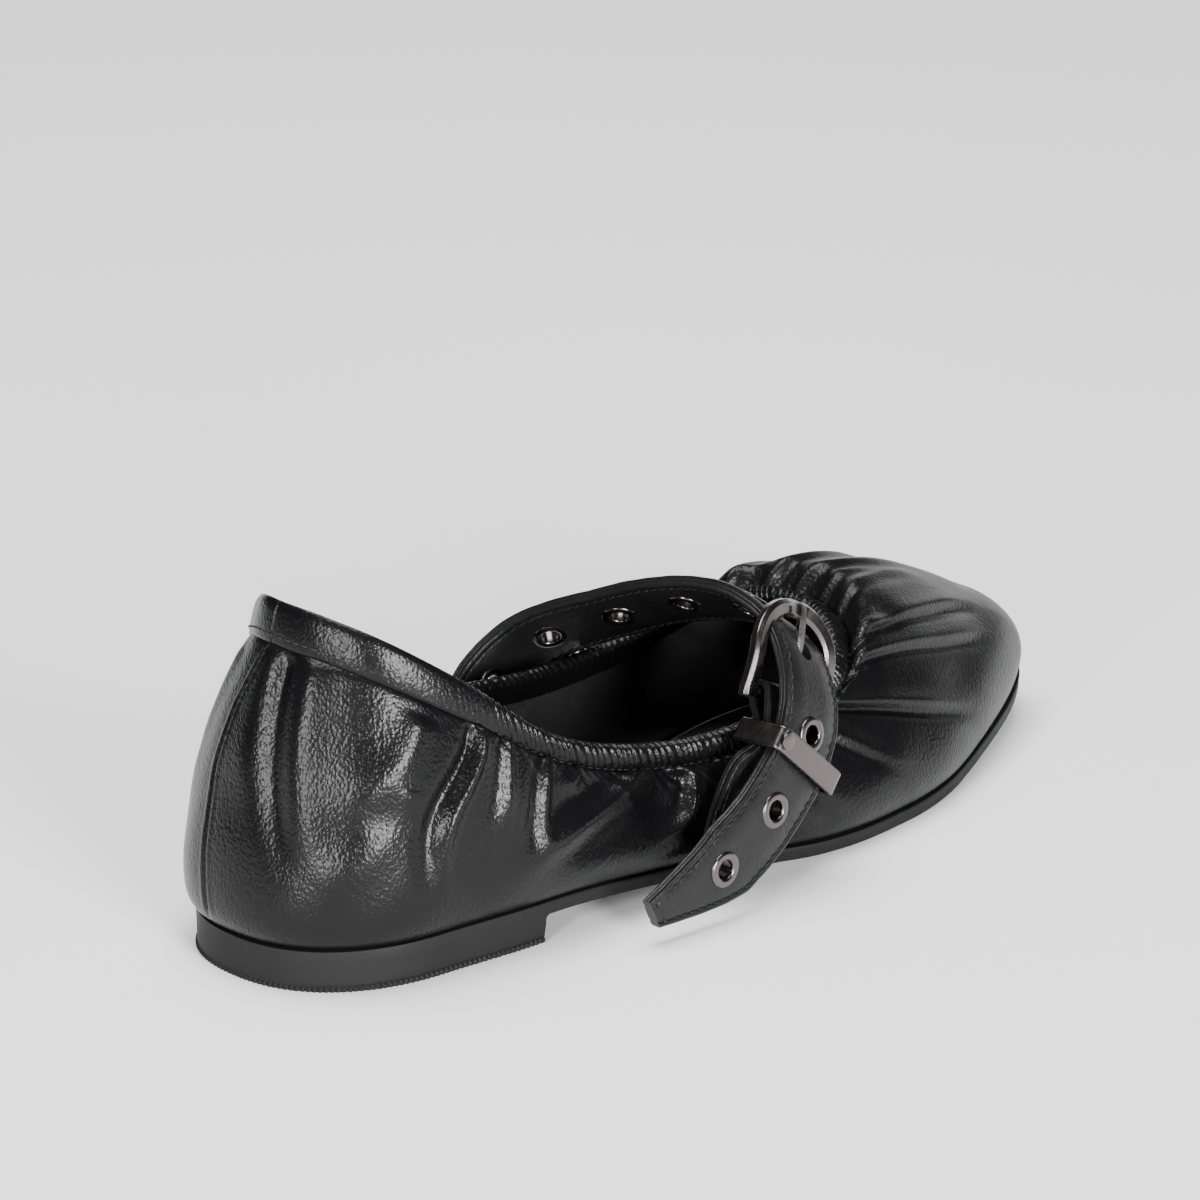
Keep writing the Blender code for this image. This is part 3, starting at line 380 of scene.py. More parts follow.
def fold_relief(points, normals):
    """Height in metres of all long folds at each grid point."""
    relief = np.zeros(points.shape[:2])
    for path, rise, width, far, trough in FOLDS:
        path = np.array(path)
        t = np.linspace(0, len(path) - 1, 41)
        line = np.stack([np.interp(t, range(len(path)), path[:, k]) for k in (0, 1)], 1)
        for _ in range(14):
            line[1:-1] = (line[:-2] + 2 * line[1:-1] + line[2:]) / 4
        line = wall_point(line[:, 0], line[:, 1])
        flow = unit(np.gradient(line, axis=0))
        near = np.linalg.norm(points - line.mean(0), axis=-1) < np.ptp(line, axis=0).max() + 0.03
        here, out = points[near], normals[near]
        best = np.full(len(here), 1.0)
        place = np.zeros(len(here))
        side = np.zeros(len(here))
        for k in range(len(line) - 1):
            step = line[k + 1] - line[k]
            share = np.clip(((here - line[k]) @ step) / (step @ step), 0, 1)
            offset = here - line[k] - share[:, None] * step
            distance = np.linalg.norm(offset, axis=1)
            closer = distance < best
            best[closer] = distance[closer]
            place[closer] = ((k + share) / (len(line) - 1))[closer]
            side[closer] = np.sign(np.einsum("ij,ij->i", np.cross(out, flow[k]), offset))[closer]
        fade = smooth(place * 6 + 0.35) * smooth((1 - place) * 2.6)
        w = width * MM * (0.7 + 0.7 * place)
        ridge = rise * np.exp(-(best / np.where(side > 0, w * far, w)) ** 1.8)
        beside = trough * np.exp(-((side * best + 1.9 * w) / (1.15 * w)) ** 2)
        relief[near] += FOLD_STRENGTH * (ridge - beside) * fade * MM
    return relief


def hollow_relief(points):
    relief = np.zeros(points.shape[:2])
    for (turn, height), depth, radius in HOLLOWS:
        distance = np.linalg.norm(points - wall_point(turn, height), axis=-1)
        relief -= depth * MM * np.exp(-(distance / (radius * MM)) ** 2)
    return relief


def run_along(turn):
    """Distance in metres along the stitches, for every column of a grid."""
    line = stitch_line(turn)
    steps = np.linalg.norm(np.diff(line, axis=0), axis=1)
    return np.concatenate([[0], np.cumsum(steps)])


def short_pleats(run, total, down, band):
    """The many short pleats under the elastic: each has its own width, length and lean."""
    dice = np.random.default_rng(11)
    relief = np.zeros((len(down), len(run)))
    place = 0.0
    while place < total - 0.002:
        width = dice.uniform(0.9, 1.7) * MM
        length = dice.choice([5, 7, 9, 13, 18, 26], p=[0.2, 0.22, 0.22, 0.18, 0.12, 0.06]) * MM
        height = dice.uniform(0.40, 1.05) * MM
        lean = dice.normal(0, 0.16)
        offset = (run[None, :] - place - lean * down + total / 2) % total - total / 2
        spread = width * (0.65 + 1.1 * down / length)
        relief += height * np.exp(-(offset / spread) ** 2) * np.exp(-(down / length) ** 2 * 1.6)
        place += width * dice.uniform(1.7, 2.7)
    return relief * band[None, :]


def soft_waves(points):
    """Slow unevenness of soft leather."""
    x, y, z = (points[..., k] * 1000 for k in range(3))
    waves = np.sin(x / 7.1 + 0.9 * np.sin(z / 6.3) + y / 11) * np.sin(z / 8.7 + x / 23 + 0.8)
    waves += 0.6 * np.sin(x / 3.7 - z / 4.9 + 1.3 * np.sin(y / 9.0)) * np.sin(y / 5.3 + z / 7.7)
    return 0.16 * MM * waves


# %% The upper's leather: a fine grid with folds, pleats and waves
COLUMNS, ROWS = 1100, 64
turns = np.arange(COLUMNS) / COLUMNS
heights = np.linspace(0.0, 1.0, ROWS)
wall = wall_point(turns[None, :], heights[:, None])
wall_out = normals_of(wall)
print("outward at the outer quarter:", wall_out[ROWS // 2, COLUMNS // 5].round(2))
run = run_along(np.append(turns, 1.0))
total_run = run[-1]
run = run[:-1]
up_steps = np.linalg.norm(np.diff(wall, axis=0), axis=-1)
down = np.concatenate([np.cumsum(up_steps[::-1], axis=0)[::-1], np.zeros((1, COLUMNS))])
band = smooth(band_share(turns) * 1.4 - 0.2)
at_foot = smooth(heights / 0.10)[:, None]
at_stitch = 1 - 0.75 * np.exp(-(down / 0.0012) ** 2)
relief = fold_relief(wall, wall_out) + hollow_relief(wall) + soft_waves(wall)
on_vamp = smooth((turns - 0.27) / 0.05) * smooth((0.68 - turns) / 0.05)
relief += short_pleats(run, total_run, down, band * (1 - 0.62 * on_vamp))
relief = relief * at_foot * at_stitch
relief -= 0.45 * MM * np.exp(-(down / 0.0010) ** 2)

# %% The back seam is a shallow groove that wanders a little to the inner side
SEAM = np.array([(0.00, -0.012), (0.15, -0.014), (0.50, -0.024), (0.72, -0.022), (1.00, -0.006)])
seam_turn = np.interp(heights, SEAM[:, 0], SEAM[:, 1])
seam_side = ((turns[None, :] - seam_turn[:, None] + 0.5) % 1.0 - 0.5) * 0.55
relief -= 0.40 * MM * np.exp(-(seam_side / 0.0007) ** 2) * at_foot
relief += 0.16 * MM * np.exp(-((np.abs(seam_side) - 0.0016) / 0.0010) ** 2) * at_foot
outer_skin = wall + relief[..., None] * wall_out
back_rows = np.arange(ROWS - 1, -1, -3)
flesh_side = outer_skin[back_rows] - 1.0 * MM * wall_out[back_rows]
shell = np.concatenate([outer_skin, flesh_side])
gathered_upper = new_piece("gathered_upper", shell.reshape(-1, 3),
                           grid_faces(len(shell), COLUMNS, closed_columns=True, closed_rows=True), 75)
print("gathered upper:", len(gathered_upper.data.polygons), "faces")

# %% [markdown]
# ## Hem and elastic edge
# At the heel the leather is simply folded over and stitched, a smooth band about 9 mm wide. From
# there round to the throat an elastic runs inside the fold and ruches it into ribs like a twisted
# rope. Both are one strip here: it starts at the stitches, goes up over the free edge and ends
# inside the shoe. The ribs are rounded humps with sharp valleys, about 1.7 mm apart.

# %% Ribs along the elastic
BAND_COLUMNS = 2400
RIB_PITCH = 2.05 * MM
band_turns = np.arange(BAND_COLUMNS) / BAND_COLUMNS
band_run = run_along(np.append(band_turns, 1.0))
rib_count = round(band_run[-1] / RIB_PITCH)
band_run = band_run[:-1] / band_run[-1]
ruched = smooth(band_share(band_turns) * 1.25 - 0.12)
wander = 0.26 * np.sin(2 * np.pi * band_run * 17) + 0.20 * np.sin(2 * np.pi * band_run * 41 + 1.0)
unevenness = 0.80 + 0.20 * np.sin(2 * np.pi * band_run * 29) * np.sin(2 * np.pi * band_run * 53 + 2)

# across the strip: share of the way from stitches (0) over the free edge (1) to the inside (2)
strip = np.array([-0.05, 0.02, 0.10, 0.20, 0.32, 0.44, 0.56, 0.67, 0.77, 0.86, 0.93, 0.98,
                  1.03, 1.10, 1.22, 1.36, 1.52, 1.75, 2.18])
low, edge = stitch_line(band_turns), topline(band_turns)
lean = topline_value("lean", band_turns)[:, None]
flat_out = np.concatenate([edge_outward(band_turns), np.zeros((BAND_COLUMNS, 1))], -1)
proud = flat_out * np.sin(lean) + np.array([0, 0, 1.0]) * np.cos(lean)
up = unit(edge - low)
strip_rows = []
for share in strip:
    hump = math.sin(math.pi * min(max(share, 0.0) / 1.05, 1.0)) ** 0.6 if share < 1.05 else 0.0
    thickness = HEM_WALL * 0.55 + (0.0030 - HEM_WALL * 0.55) * ruched
    if share <= 1.0:
        lift = 0.20 * MM + (0.45 * MM * (1 - ruched) + 1.05 * MM * ruched) * hump
        centre = low + (edge - low) * share
        roll = smooth((share - 0.80) / 0.2)
        point = centre + proud * (lift - roll * thickness * 0.35)[:, None]
    else:
        inside = share - 1.0
        roll = smooth(inside / 0.15)
        centre = edge - (edge - low) * inside
        point = centre - proud * (thickness * (0.35 + 0.55 * roll))[:, None]
    phase = band_run * rib_count + wander + share * 0.55
    rib = np.abs(np.sin(math.pi * phase)) ** 0.75 - 0.70
    depth = (1.0 if share < 1.3 else 0.35) * MM * unevenness * ruched
    depth = depth * (0.45 + 0.55 * min(hump + 0.35, 1.0))
    if share < 1.1:
        seam_gap = ((band_turns + 0.006 + 0.5) % 1.0 - 0.5) * 0.55
        point = point - proud * (0.35 * MM * np.exp(-(seam_gap / 0.0007) ** 2))[:, None]
    away = proud if share < 0.9 else (up if share < 1.12 else -proud)
    if 0.9 <= share < 1.12:
        away = unit(proud + up)
    strip_rows.append(point + away * (rib * depth)[:, None])
strip_rows = np.array(strip_rows)
topline_band = new_piece("topline_band", strip_rows.reshape(-1, 3),
                         grid_faces(len(strip), BAND_COLUMNS, closed_columns=True, closed_rows=True), 80)
print("ribs:", rib_count, "faces:", len(topline_band.data.polygons))

# %% [markdown]
# ## Lining and sock
# The lining follows the wall 1.7 mm inside the leather and reaches down to the sock, the thin
# padded sheet that the foot stands on. Both are matte, so the inside stays darker than the outside.

# %% Lining from the elastic down to the sock
lining_rows = np.linspace(0, ROWS - 1, 43).round().astype(int)
behind = outer_skin[lining_rows][:, ::2]
behind_out = wall_out[lining_rows][:, ::2]
lining_sheet = np.concatenate([behind - 0.0013 * behind_out, (behind - WALL * behind_out)[::-1]])
lining = new_piece("lining", lining_sheet.reshape(-1, 3),
                   grid_faces(len(lining_sheet), COLUMNS // 2, closed_columns=True, closed_rows=True), 75)
print("lining faces:", len(lining.data.polygons))

# %% The sock, a thin sheet with a soft edge
SOCK_STATIONS = 120
sock_rings = []
for place in np.linspace(0, 1, SOCK_STATIONS + 2)[1:-1]:
    inset = RIM + WALL + GAP + SIDE_PLAY
    outer = feather_line(place / 2, inset)
    inner_side = feather_line(1 - place / 2, inset)
    across = np.linspace(0, 1, 25)[:, None]
    base = outer + (inner_side - outer) * across
    base[:, 2] += GAP
    crown = 0.0007 * np.sin(math.pi * across[:, 0]) ** 0.5
    soft = 0.0009 * (1 - np.minimum(across[:, 0], 1 - across[:, 0]) * 30).clip(0, 1) ** 2
    high = base.copy()
    high[:, 2] += INSOLE_THICKNESS + crown - 0.0007 - soft
    sock_rings.append(np.concatenate([high, base[::-1]]))
sock = loft("sock_lining", sock_rings, 50)

# %% [markdown]
# ## The sole
# Sole and heel are one rubber moulding. Seen closely its edge isn't square: the top has a small
# rounded lip, the side leans in slightly and the walking edge is softened. Sections across the shoe
# are lofted from back to toe, and two sections stand almost on top of each other at the heel's
# front, the breast.

# %% Loft the sole from sections
breast = HEEL_LENGTH / SOLE_LENGTH
half = np.linspace(0, 1, 261)[1:-1]
share = (1 - np.cos(np.pi * half)) / 2
share = share[np.abs(share - breast - 0.0018) > 0.0036]
bevels = [breast - 0.0028, breast - 0.0009, breast, breast + BREAST_SLOPE / SOLE_LENGTH,
          breast + 0.0046, breast + 0.0060]
share = np.sort(np.concatenate([share, [0.0002, 0.9998], bevels]))
across = np.sin(np.linspace(-1, 1, 21) * math.pi / 2)
sole_rings = []
for place in share:
    outer, inner_y = float(plan_breadth(place, -1)), float(plan_breadth(place, 1))
    high = float(feather_height(place))
    on_heel = place <= breast
    bottom = 0.0 if on_heel else high - OUTSOLE_THICKNESS
    if breast < place < breast + 0.0055:
        bottom = max(bottom - 0.0004, 0.0)
    bow = BREAST_CURVE * math.exp(-((place - breast) * SOLE_LENGTH / 0.012) ** 2)
    middle, half_width = (outer + inner_y) / 2, (inner_y - outer) / 2
    section = []
    thick = high - bottom
    soften = min(0.0007, half_width * 0.4)
    for a in across:
        section.append((a, 0.0, high, 1.0))
    sides = [(0.0000, 0.12), (0.0001, 0.30), (0.0002, 0.55), (0.0002, 0.80), (0.0003, 0.93), (0.0007, 1.0)]
    profile = [(lean_in, high - thick * part) for lean_in, part in sides]
    ring = [(along(place) - bow * (1 - a * a), middle + a * (half_width - 0.0002), high) for a in across]
    ring += [(along(place), middle + half_width - min(lean_in, half_width * 0.3), z) for lean_in, z in profile]
    ring += [(along(place) - bow * (1 - a * a), middle + a * (half_width - soften), bottom)
             for a in across[::-1][1:-1]]
    ring += [(along(place), middle - half_width + min(lean_in, half_width * 0.3), z)
             for lean_in, z in profile[::-1]]
    sole_rings.append(ring)
moulded_sole = loft("moulded_sole", sole_rings, 38)
print("sole sections:", len(sole_rings))

# %% The heel's tread plate: fine teeth round its walking edge
TOOTH_PITCH, TOOTH_DEPTH, TREAD_HEIGHT = 0.0013, 0.00050, 0.0011
heel_turn = np.linspace(0, 1, 20001)
outline = feather_line(heel_turn)[:, :2]
keep = outline[:, 0] < HEEL_LENGTH - ORIGIN_FROM_BACK
lateral, medial = outline[keep & (heel_turn < 0.5)], outline[keep & (heel_turn > 0.5)]
outline = np.concatenate([medial, lateral[1:]])
travelled = np.concatenate([[0], np.cumsum(np.linalg.norm(np.diff(outline, axis=0), axis=1))])
tooth_count = int(travelled[-1] / TOOTH_PITCH)
even = np.linspace(0, travelled[-1], tooth_count * 6 + 1)
outline = np.stack([np.interp(even, travelled, outline[:, k]) for k in (0, 1)], 1)
outline_flow = unit(np.gradient(outline, axis=0))
outline_out = np.stack([outline_flow[:, 1], -outline_flow[:, 0]], 1)
tooth = np.abs(np.sin(math.pi * even / TOOTH_PITCH)) ** 0.7
tread_low = outline + outline_out * ((tooth - 1) * TOOTH_DEPTH + 0.00026)[:, None]
tread_high = outline + outline_out * (-0.00012)
plate = [np.concatenate([tread_low, np.zeros((len(even), 1))], 1),
         np.concatenate([tread_low, np.full((len(even), 1), TREAD_HEIGHT * 0.7)], 1),
         np.concatenate([tread_high, np.full((len(even), 1), TREAD_HEIGHT)], 1)]
heel_tread = loft("heel_tread", plate, 30)
print("teeth:", tooth_count)

# %% [markdown]
# ## Straps
# The long strap is three thin layers glued and sewn together, so its edge shows fine lines and both
# faces carry a stitched groove 1.5 mm in from the edge. It is a ribbon along one smooth path: a
# middle line, a direction for its width and one for its thickness.

# %% Paths of both straps
STRAP_PATH = Table(
    ("run", "reach", "spread", "rise", "lean"), (
        (0.00, 0.380, 0.600, 0.130, 4.0),
        (0.05, 0.388, 0.800, 0.330, 14.0),
        (0.13, 0.422, 0.970, 0.610, 30.0),
        (0.20, 0.472, 0.930, 0.840, 38.0),
        (0.31, 0.519, 0.420, 1.090, 38.0),
        (0.41, 0.539, -0.080, 1.250, 38.0),
        (0.49, 0.545, -0.530, 1.305, 38.0),
        (0.56, 0.542, -0.880, 1.235, 38.0),
        (0.63, 0.530, -1.120, 1.040, 39.0),
        (0.69, 0.515, -1.200, 0.820, 41.0),
        (0.78, 0.469, -1.240, 0.530, 47.0),
        (0.89, 0.396, -1.280, 0.300, 60.0),
        (1.00, 0.310, -1.265, 0.175, 67.0)))
LAYER_PATH = Table(
    ("run", "reach", "spread", "rise", "lean"), (
        (0.00, 0.440, -0.870, 0.080, 3.0),
        (0.12, 0.444, -0.985, 0.190, 8.0),
        (0.30, 0.452, -1.000, 0.370, 20.0),
        (0.55, 0.470, -1.000, 0.560, 36.0)))
PRONG_SHARE, FRAME_SHARE, PIN_SHARE, KEEPER_SHARE = 0.622, 0.580, 0.672, 0.742


def clear_of_wall(x, z, slope, side):
    turn = np.linspace(0.10, 0.40, 91)
    turn = turn if side < 0 else 1 - turn
    points = wall_point(turn[:, None], np.linspace(0, 1, 41)[None, :]).reshape(-1, 3)
    rim = feather_line(turn)
    below = rim - np.array([0, 0, OUTSOLE_THICKNESS])
    points = np.concatenate([points, rim, (rim + below) / 2, below])
    level = (points[:, 0] - x) * math.cos(slope) - (points[:, 2] - z) * math.sin(slope)
    off = (points[:, 0] - x) * math.sin(slope) + (points[:, 2] - z) * math.cos(slope)
    near = (np.abs(level) < STRAP_WIDTH / 2 + SIDE_PLAY) & (np.abs(off) < 0.003)
    return np.abs(points[near, 1]).max() if near.any() else 0.0


def smooth_curve(points, count):
    points = np.asarray(points, float)
    chord = np.concatenate([[0], np.cumsum(np.linalg.norm(np.diff(points[:, :3], axis=0), axis=1))])
    slope = np.gradient(points, chord, axis=0)
    fine = np.linspace(0, chord[-1], 40 * len(points))
    i = np.clip(np.searchsorted(chord, fine, side="right") - 1, 0, len(chord) - 2)
    length = (chord[i + 1] - chord[i])[:, None]
    t = ((fine - chord[i])[:, None]) / length
    curve = ((1 + 2 * t) * (1 - t) ** 2 * points[i] + t * (1 - t) ** 2 * length * slope[i]
             + t * t * (3 - 2 * t) * points[i + 1] + t * t * (t - 1) * length * slope[i + 1])
    travelled = np.concatenate([[0], np.cumsum(np.linalg.norm(np.diff(curve[:, :3], axis=0), axis=1))])
    even = np.linspace(0, travelled[-1], count)
    return np.stack([np.interp(even, travelled, curve[:, k]) for k in range(points.shape[1])], 1), travelled[-1]


def table_stops(table):
    data = table.data
    return np.stack([along(data["reach"]), data["spread"] * BALL_WIDTH / 2, data["rise"] * THROAT_TOP,
                     data["lean"]], -1)


def path_of(stops, side, thickness, count):
    rows = stops.copy()
    rows[0, 2] = feather_height((rows[0, 0] + ORIGIN_FROM_BACK) / SOLE_LENGTH) - FOOT_DROP
    curve, length = smooth_curve(rows, count)
    for point in curve:
        if np.sign(point[1]) == side and point[2] < THROAT_TOP:
            reach = clear_of_wall(point[0], point[2], math.radians(point[3]), side)
            point[1] = side * max(abs(point[1]), reach + 2 * GAP + thickness / 2)
    centre = curve[:, :3]
    inner = centre[1:-1, 1]
    centre[1:-1, 1] = side * np.maximum(side * inner, side * (centre[:-2, 1] + centre[2:, 1]) / 2)
    slope = np.radians(curve[:, 3])
    tangent = unit(np.gradient(centre, axis=0))
    width = np.stack([np.cos(slope), np.zeros(count), -np.sin(slope)], -1)
    normal = side * unit(np.cross(tangent, width))
    return centre, width, normal, tangent, length


def at_share(path, share):
    place = share * (len(path[0]) - 1)
    i = int(min(place, len(path[0]) - 2))
    t = place - i
    return [path[k][i] * (1 - t) + path[k][i + 1] * t for k in range(4)]


def refined(path, count):
    """The same path with more stations, read through its own points."""
    old = np.linspace(0, 1, len(path[0]))
    new = np.linspace(0, 1, count)
    soft = []
    for rows in path[:3]:
        dense = np.stack([np.interp(new, old, rows[:, k]) for k in range(3)], 1)
        for _ in range(count // len(old) * 6):
            dense[1:-1] = (dense[:-2] + 2 * dense[1:-1] + dense[2:]) / 4
        soft.append(dense)
    centre, width, normal = soft
    tangent = unit(np.gradient(centre, axis=0))
    width = unit(width)
    normal = unit(normal - tangent * np.einsum("ij,ij->i", normal, tangent)[:, None])
    return centre, width, normal, tangent, path[4]


STRAP = path_of(table_stops(STRAP_PATH), 1, STRAP_THICKNESS, 50)
print("strap length in mm:", round(STRAP[4] * 1000, 1))

# %% The strap's cross-section: rounded edges, glued layers and two stitched grooves
def ribbon_section(half_width, half_thickness, groove_in, layers):
    """Corners of one section as (across, out), starting at one edge's top."""
    groove, deep = 0.00034, 0.00030
    edge = min(0.0006, half_thickness * 0.6)
    stops = [(half_width - edge * 0.15, -edge * 0.45), (half_width - edge, 0.0),
             (half_width - groove_in + groove * 1.7, 0.0), (half_width - groove_in + groove * 0.6, -deep * 0.7),
             (half_width - groove_in, -deep), (half_width - groove_in - groove * 0.6, -deep * 0.7),
             (half_width - groove_in - groove * 1.7, 0.0), (half_width * 0.35, 0.00004)]
    top = [(a, half_thickness + b) for a, b in stops]
    top += [(-a, b) for a, b in top[::-1]]
    side = []
    reach = half_thickness - edge * 0.45
    for k in range(1, layers):
        z = reach - 2 * reach * k / layers
        side += [(half_width, z + 0.00016), (half_width - 0.00013, z), (half_width, z - 0.00016)]
    left = [(-a, b) for a, b in side]
    right = [(a, b) for a, b in side[::-1]]
    bottom = [(-a, -b) for a, b in top]
    return np.array(top + left + bottom + right)


def tapered(left):
    return STRAP_WIDTH / 2 * (TIP_END + (1 - TIP_END) * min(left / TIP_TAPER, 1.0))


fine_strap = refined(STRAP, 300)
strap_length = fine_strap[4]
stations = np.unique(np.concatenate([np.linspace(0, 1, 290), 1 - np.linspace(0.0006, 0.0034, 15) / strap_length]))
centre, width, normal, tangent = [
    np.stack([np.interp(stations, np.linspace(0, 1, 300), rows[:, k]) for k in range(3)], 1)
    for rows in fine_strap[:4]]
strap_rings = []
for k, station in enumerate(stations):
    passed = station * strap_length
    skew = np.linalg.norm(np.cross(width[k], tangent[k]))
    thick = LAYER_THICKNESS + (STRAP_THICKNESS - LAYER_THICKNESS) * float(smooth(passed / 0.012))
    half_width = tapered(strap_length - passed)
    section = ribbon_section(half_width, thick / 2, 0.0015, 3)
    from_tip = strap_length - passed
    cross_groove = 0.00024 * math.exp(-((from_tip - 0.0017) / 0.00028) ** 2)
    inside_border = (np.abs(section[:, 0]) < half_width - 0.0012) & (np.abs(section[:, 1]) > thick / 2 - 0.0004)
    section[inside_border, 1] -= np.sign(section[inside_border, 1]) * cross_groove
    wave = 0.00005 * math.sin(passed * 410 + 0.7) + 0.00003 * math.sin(passed * 970)
    strap_rings.append(centre[k] + section[:, :1] / skew * width[k] + (section[:, 1:] + wave) * normal[k])
long_strap = loft("long_strap", strap_rings, 50)

# %% Punch the eyelets' holes through the strap
def basis(place, first, second, third):
    turn = Matrix((first, second, third)).transposed().to_4x4()
    turn.translation = Vector(place)
    return turn


def eyelet_places():
    spots = []
    for step in (-5, -4, -3, -2, -1, 1, 2, 3):
        place, _, out, flow = at_share(STRAP, PRONG_SHARE + step * EYELET_PITCH / STRAP[4])
        out = unit(out)
        side_way = unit(np.cross(out, flow))
        spots.append(basis(place, np.cross(side_way, out), side_way, out))
    return spots


punches = []
prong_place, _, prong_out, prong_flow = at_share(STRAP, PRONG_SHARE)
prong_out = unit(prong_out)
prong_side = unit(np.cross(prong_out, prong_flow))
for spot in eyelet_places() + [basis(prong_place, np.cross(prong_side, prong_out), prong_side, prong_out)]:
    bpy.ops.object.select_all(action="DESELECT")
    bpy.ops.mesh.primitive_cylinder_add(vertices=32, radius=EYELET_HOLE / 2 - 0.0001, depth=0.012)
    punch = bpy.context.object
    punch.matrix_world = spot
    punches.append(punch)
bpy.ops.object.select_all(action="DESELECT")
for punch in punches:
    punch.select_set(True)
bpy.context.view_layer.objects.active = punches[0]
bpy.ops.object.join()
punch = bpy.context.object
only(long_strap)
cut = long_strap.modifiers.new("holes", "BOOLEAN")
cut.operation, cut.solver, cut.object = "DIFFERENCE", "EXACT", punch
bpy.ops.object.modifier_apply(modifier="holes")
bpy.data.objects.remove(punch, do_unlink=True)
bpy.ops.object.shade_smooth_by_angle(angle=math.radians(50))
print("strap faces after punching:", len(long_strap.data.polygons))

# %% [markdown]
# ## Rolled eyelets
# An eyelet is a short tube whose ends are rolled outwards over the leather. One half-section is
# spun about the tube's axis, and the finished ring is copied to the eight places at one pitch.

# %% Spin one eyelet and copy it
def spun(name, profile, steps, edge_degrees=40):
    profile = np.array(profile)
    rings = []
    for angle in np.arange(steps) * 2 * math.pi / steps:
        rings.append(np.stack([profile[:, 0] * math.cos(angle), profile[:, 0] * math.sin(angle),
                               profile[:, 1]], -1))
    return loft(name, rings, edge_degrees, closed_path=True)


def eyelet_half(face, sign):
    hole, flange = EYELET_HOLE / 2 - EYELET_RIM, EYELET_FLANGE / 2
    middle, radius = (hole + flange) / 2, (flange - hole) / 2
    stops = []
    for angle in np.linspace(0, math.pi, 15):
        stops.append((middle + radius * math.cos(angle), sign * (face + 0.00062 * math.sin(angle) ** 0.8)))
    return stops


face = STRAP_THICKNESS / 2 - 0.00005
profile = eyelet_half(face, 1) + eyelet_half(face, -1)[::-1]
profile += [(EYELET_HOLE / 2 - 0.0001, -face), (EYELET_HOLE / 2 - 0.0001, face)]
first_eyelet = spun("eyelet_ring", profile, 48)
eyelet_rings = []
for number, spot in enumerate(eyelet_places(), 1):
    ring = bpy.data.objects.new("eyelet_ring_%d" % number, first_eyelet.data.copy())
    ring.data.transform(spot)
    bpy.context.scene.collection.objects.link(ring)
    eyelet_rings.append(ring)
bpy.data.objects.remove(first_eyelet, do_unlink=True)
print("eyelets:", len(eyelet_rings))

# %% [markdown]
# ## Buckle
# The frame is a flat bar bent to a horseshoe. Its faces are flat and meet in crisp narrow facets,
# which is what catches the light, so its section has eight corners and the edges get only a very
# small bevel.

# %% Where pin, frame and loop sit
def buckle_axes():
    middle, wide, out, _ = at_share(STRAP, PIN_SHARE)
    out = unit(out)
    pin = middle - out * PIN_DEPTH
    over, over_wide, over_out, _ = at_share(STRAP, FRAME_SHARE)
    far = over + unit(over_out) * (STRAP_THICKNESS / 2 + FRAME_LIFT + FRAME_DEPTH / 2)
    forward = unit(far - pin)
    across_bar = unit(wide + over_wide)
    across_bar = unit(across_bar - forward * across_bar.dot(forward))
    up_bar = unit(np.cross(across_bar, forward))
    if up_bar.dot(out) < 0:
        up_bar = -up_bar
    return pin, far, forward, across_bar, up_bar


BUCKLE = buckle_axes()


def bar_ring(place, wide, out, half_width, half_thickness, chamfer):
    corners = []
    for a, b in ((1, -1), (1, 1), (-1, 1), (-1, -1)):
        first = (a * half_width, b * (half_thickness - chamfer))
        second = (a * (half_width - chamfer), b * half_thickness)
        corners += [first, second] if a * b > 0 else [second, first]
    return [place + u * wide + v * out for u, v in corners]


def crisp(piece, width=0.00012):
    """A very small bevel on a metal piece's edges."""
    bevel = piece.modifiers.new("edges", "BEVEL")
    bevel.width, bevel.segments, bevel.limit_method = width, 2, "ANGLE"
    bevel.angle_limit = math.radians(24)
    only(piece)
    bpy.ops.object.modifier_apply(modifier="edges")
    bpy.ops.object.shade_smooth_by_angle(angle=math.radians(26))


# %% The frame with its groove for the prong
pin, far, forward, across_bar, out_bar = BUCKLE
half_bar = STRAP_WIDTH / 2 + FRAME_PLAY + FRAME_BAR / 2
frame_length = np.linalg.norm(far - pin)
straight = frame_length - FRAME_ROUND
stops = [(-half_bar, reach, 0.0) for reach in np.linspace(-FRAME_BAR / 2, straight, 7)]
for angle in np.linspace(0, math.pi, 33)[1:-1]:
    stops.append((-half_bar * math.cos(angle), straight + FRAME_ROUND * math.sin(angle), angle))
stops += [(half_bar, reach, math.pi) for reach in np.linspace(straight, -FRAME_BAR / 2, 7)]
frame_rings = []
for side_way, reach, angle in stops:
    outward = -math.cos(angle) * across_bar + math.sin(angle) * forward
    bow = FRAME_BOW * math.sin(math.pi * min(max(reach / frame_length, 0), 1))
    place = pin + side_way * across_bar + reach * forward + bow * out_bar
    groove = 0.0006 * math.exp(-(side_way / 0.0016) ** 4) * (math.sin(angle) > 0.9)
    foot = float(smooth((0.30 - reach / frame_length) / 0.5))
    wider = 0.00050 + 0.00012 * foot
    frame_rings.append(bar_ring(place - groove * out_bar + wider * outward, outward, out_bar,
                                FRAME_BAR / 2 + wider, FRAME_DEPTH / 2 - groove * 0.4, FRAME_DEPTH * 0.26))
horseshoe = loft("buckle_horseshoe", frame_rings, 26)
crisp(horseshoe)

# %% Pin and prong
bpy.ops.object.select_all(action="DESELECT")
bpy.ops.mesh.primitive_cylinder_add(vertices=40, radius=PIN_DIAMETER / 2,
                                    depth=STRAP_WIDTH + 2 * FRAME_PLAY - 2 * GAP)
cross_pin = bpy.context.object
cross_pin.name = "buckle_cross_pin"
cross_pin.data.transform(basis(pin, forward, out_bar, across_bar))
only(cross_pin)
bpy.ops.object.shade_smooth_by_angle(angle=math.radians(40))

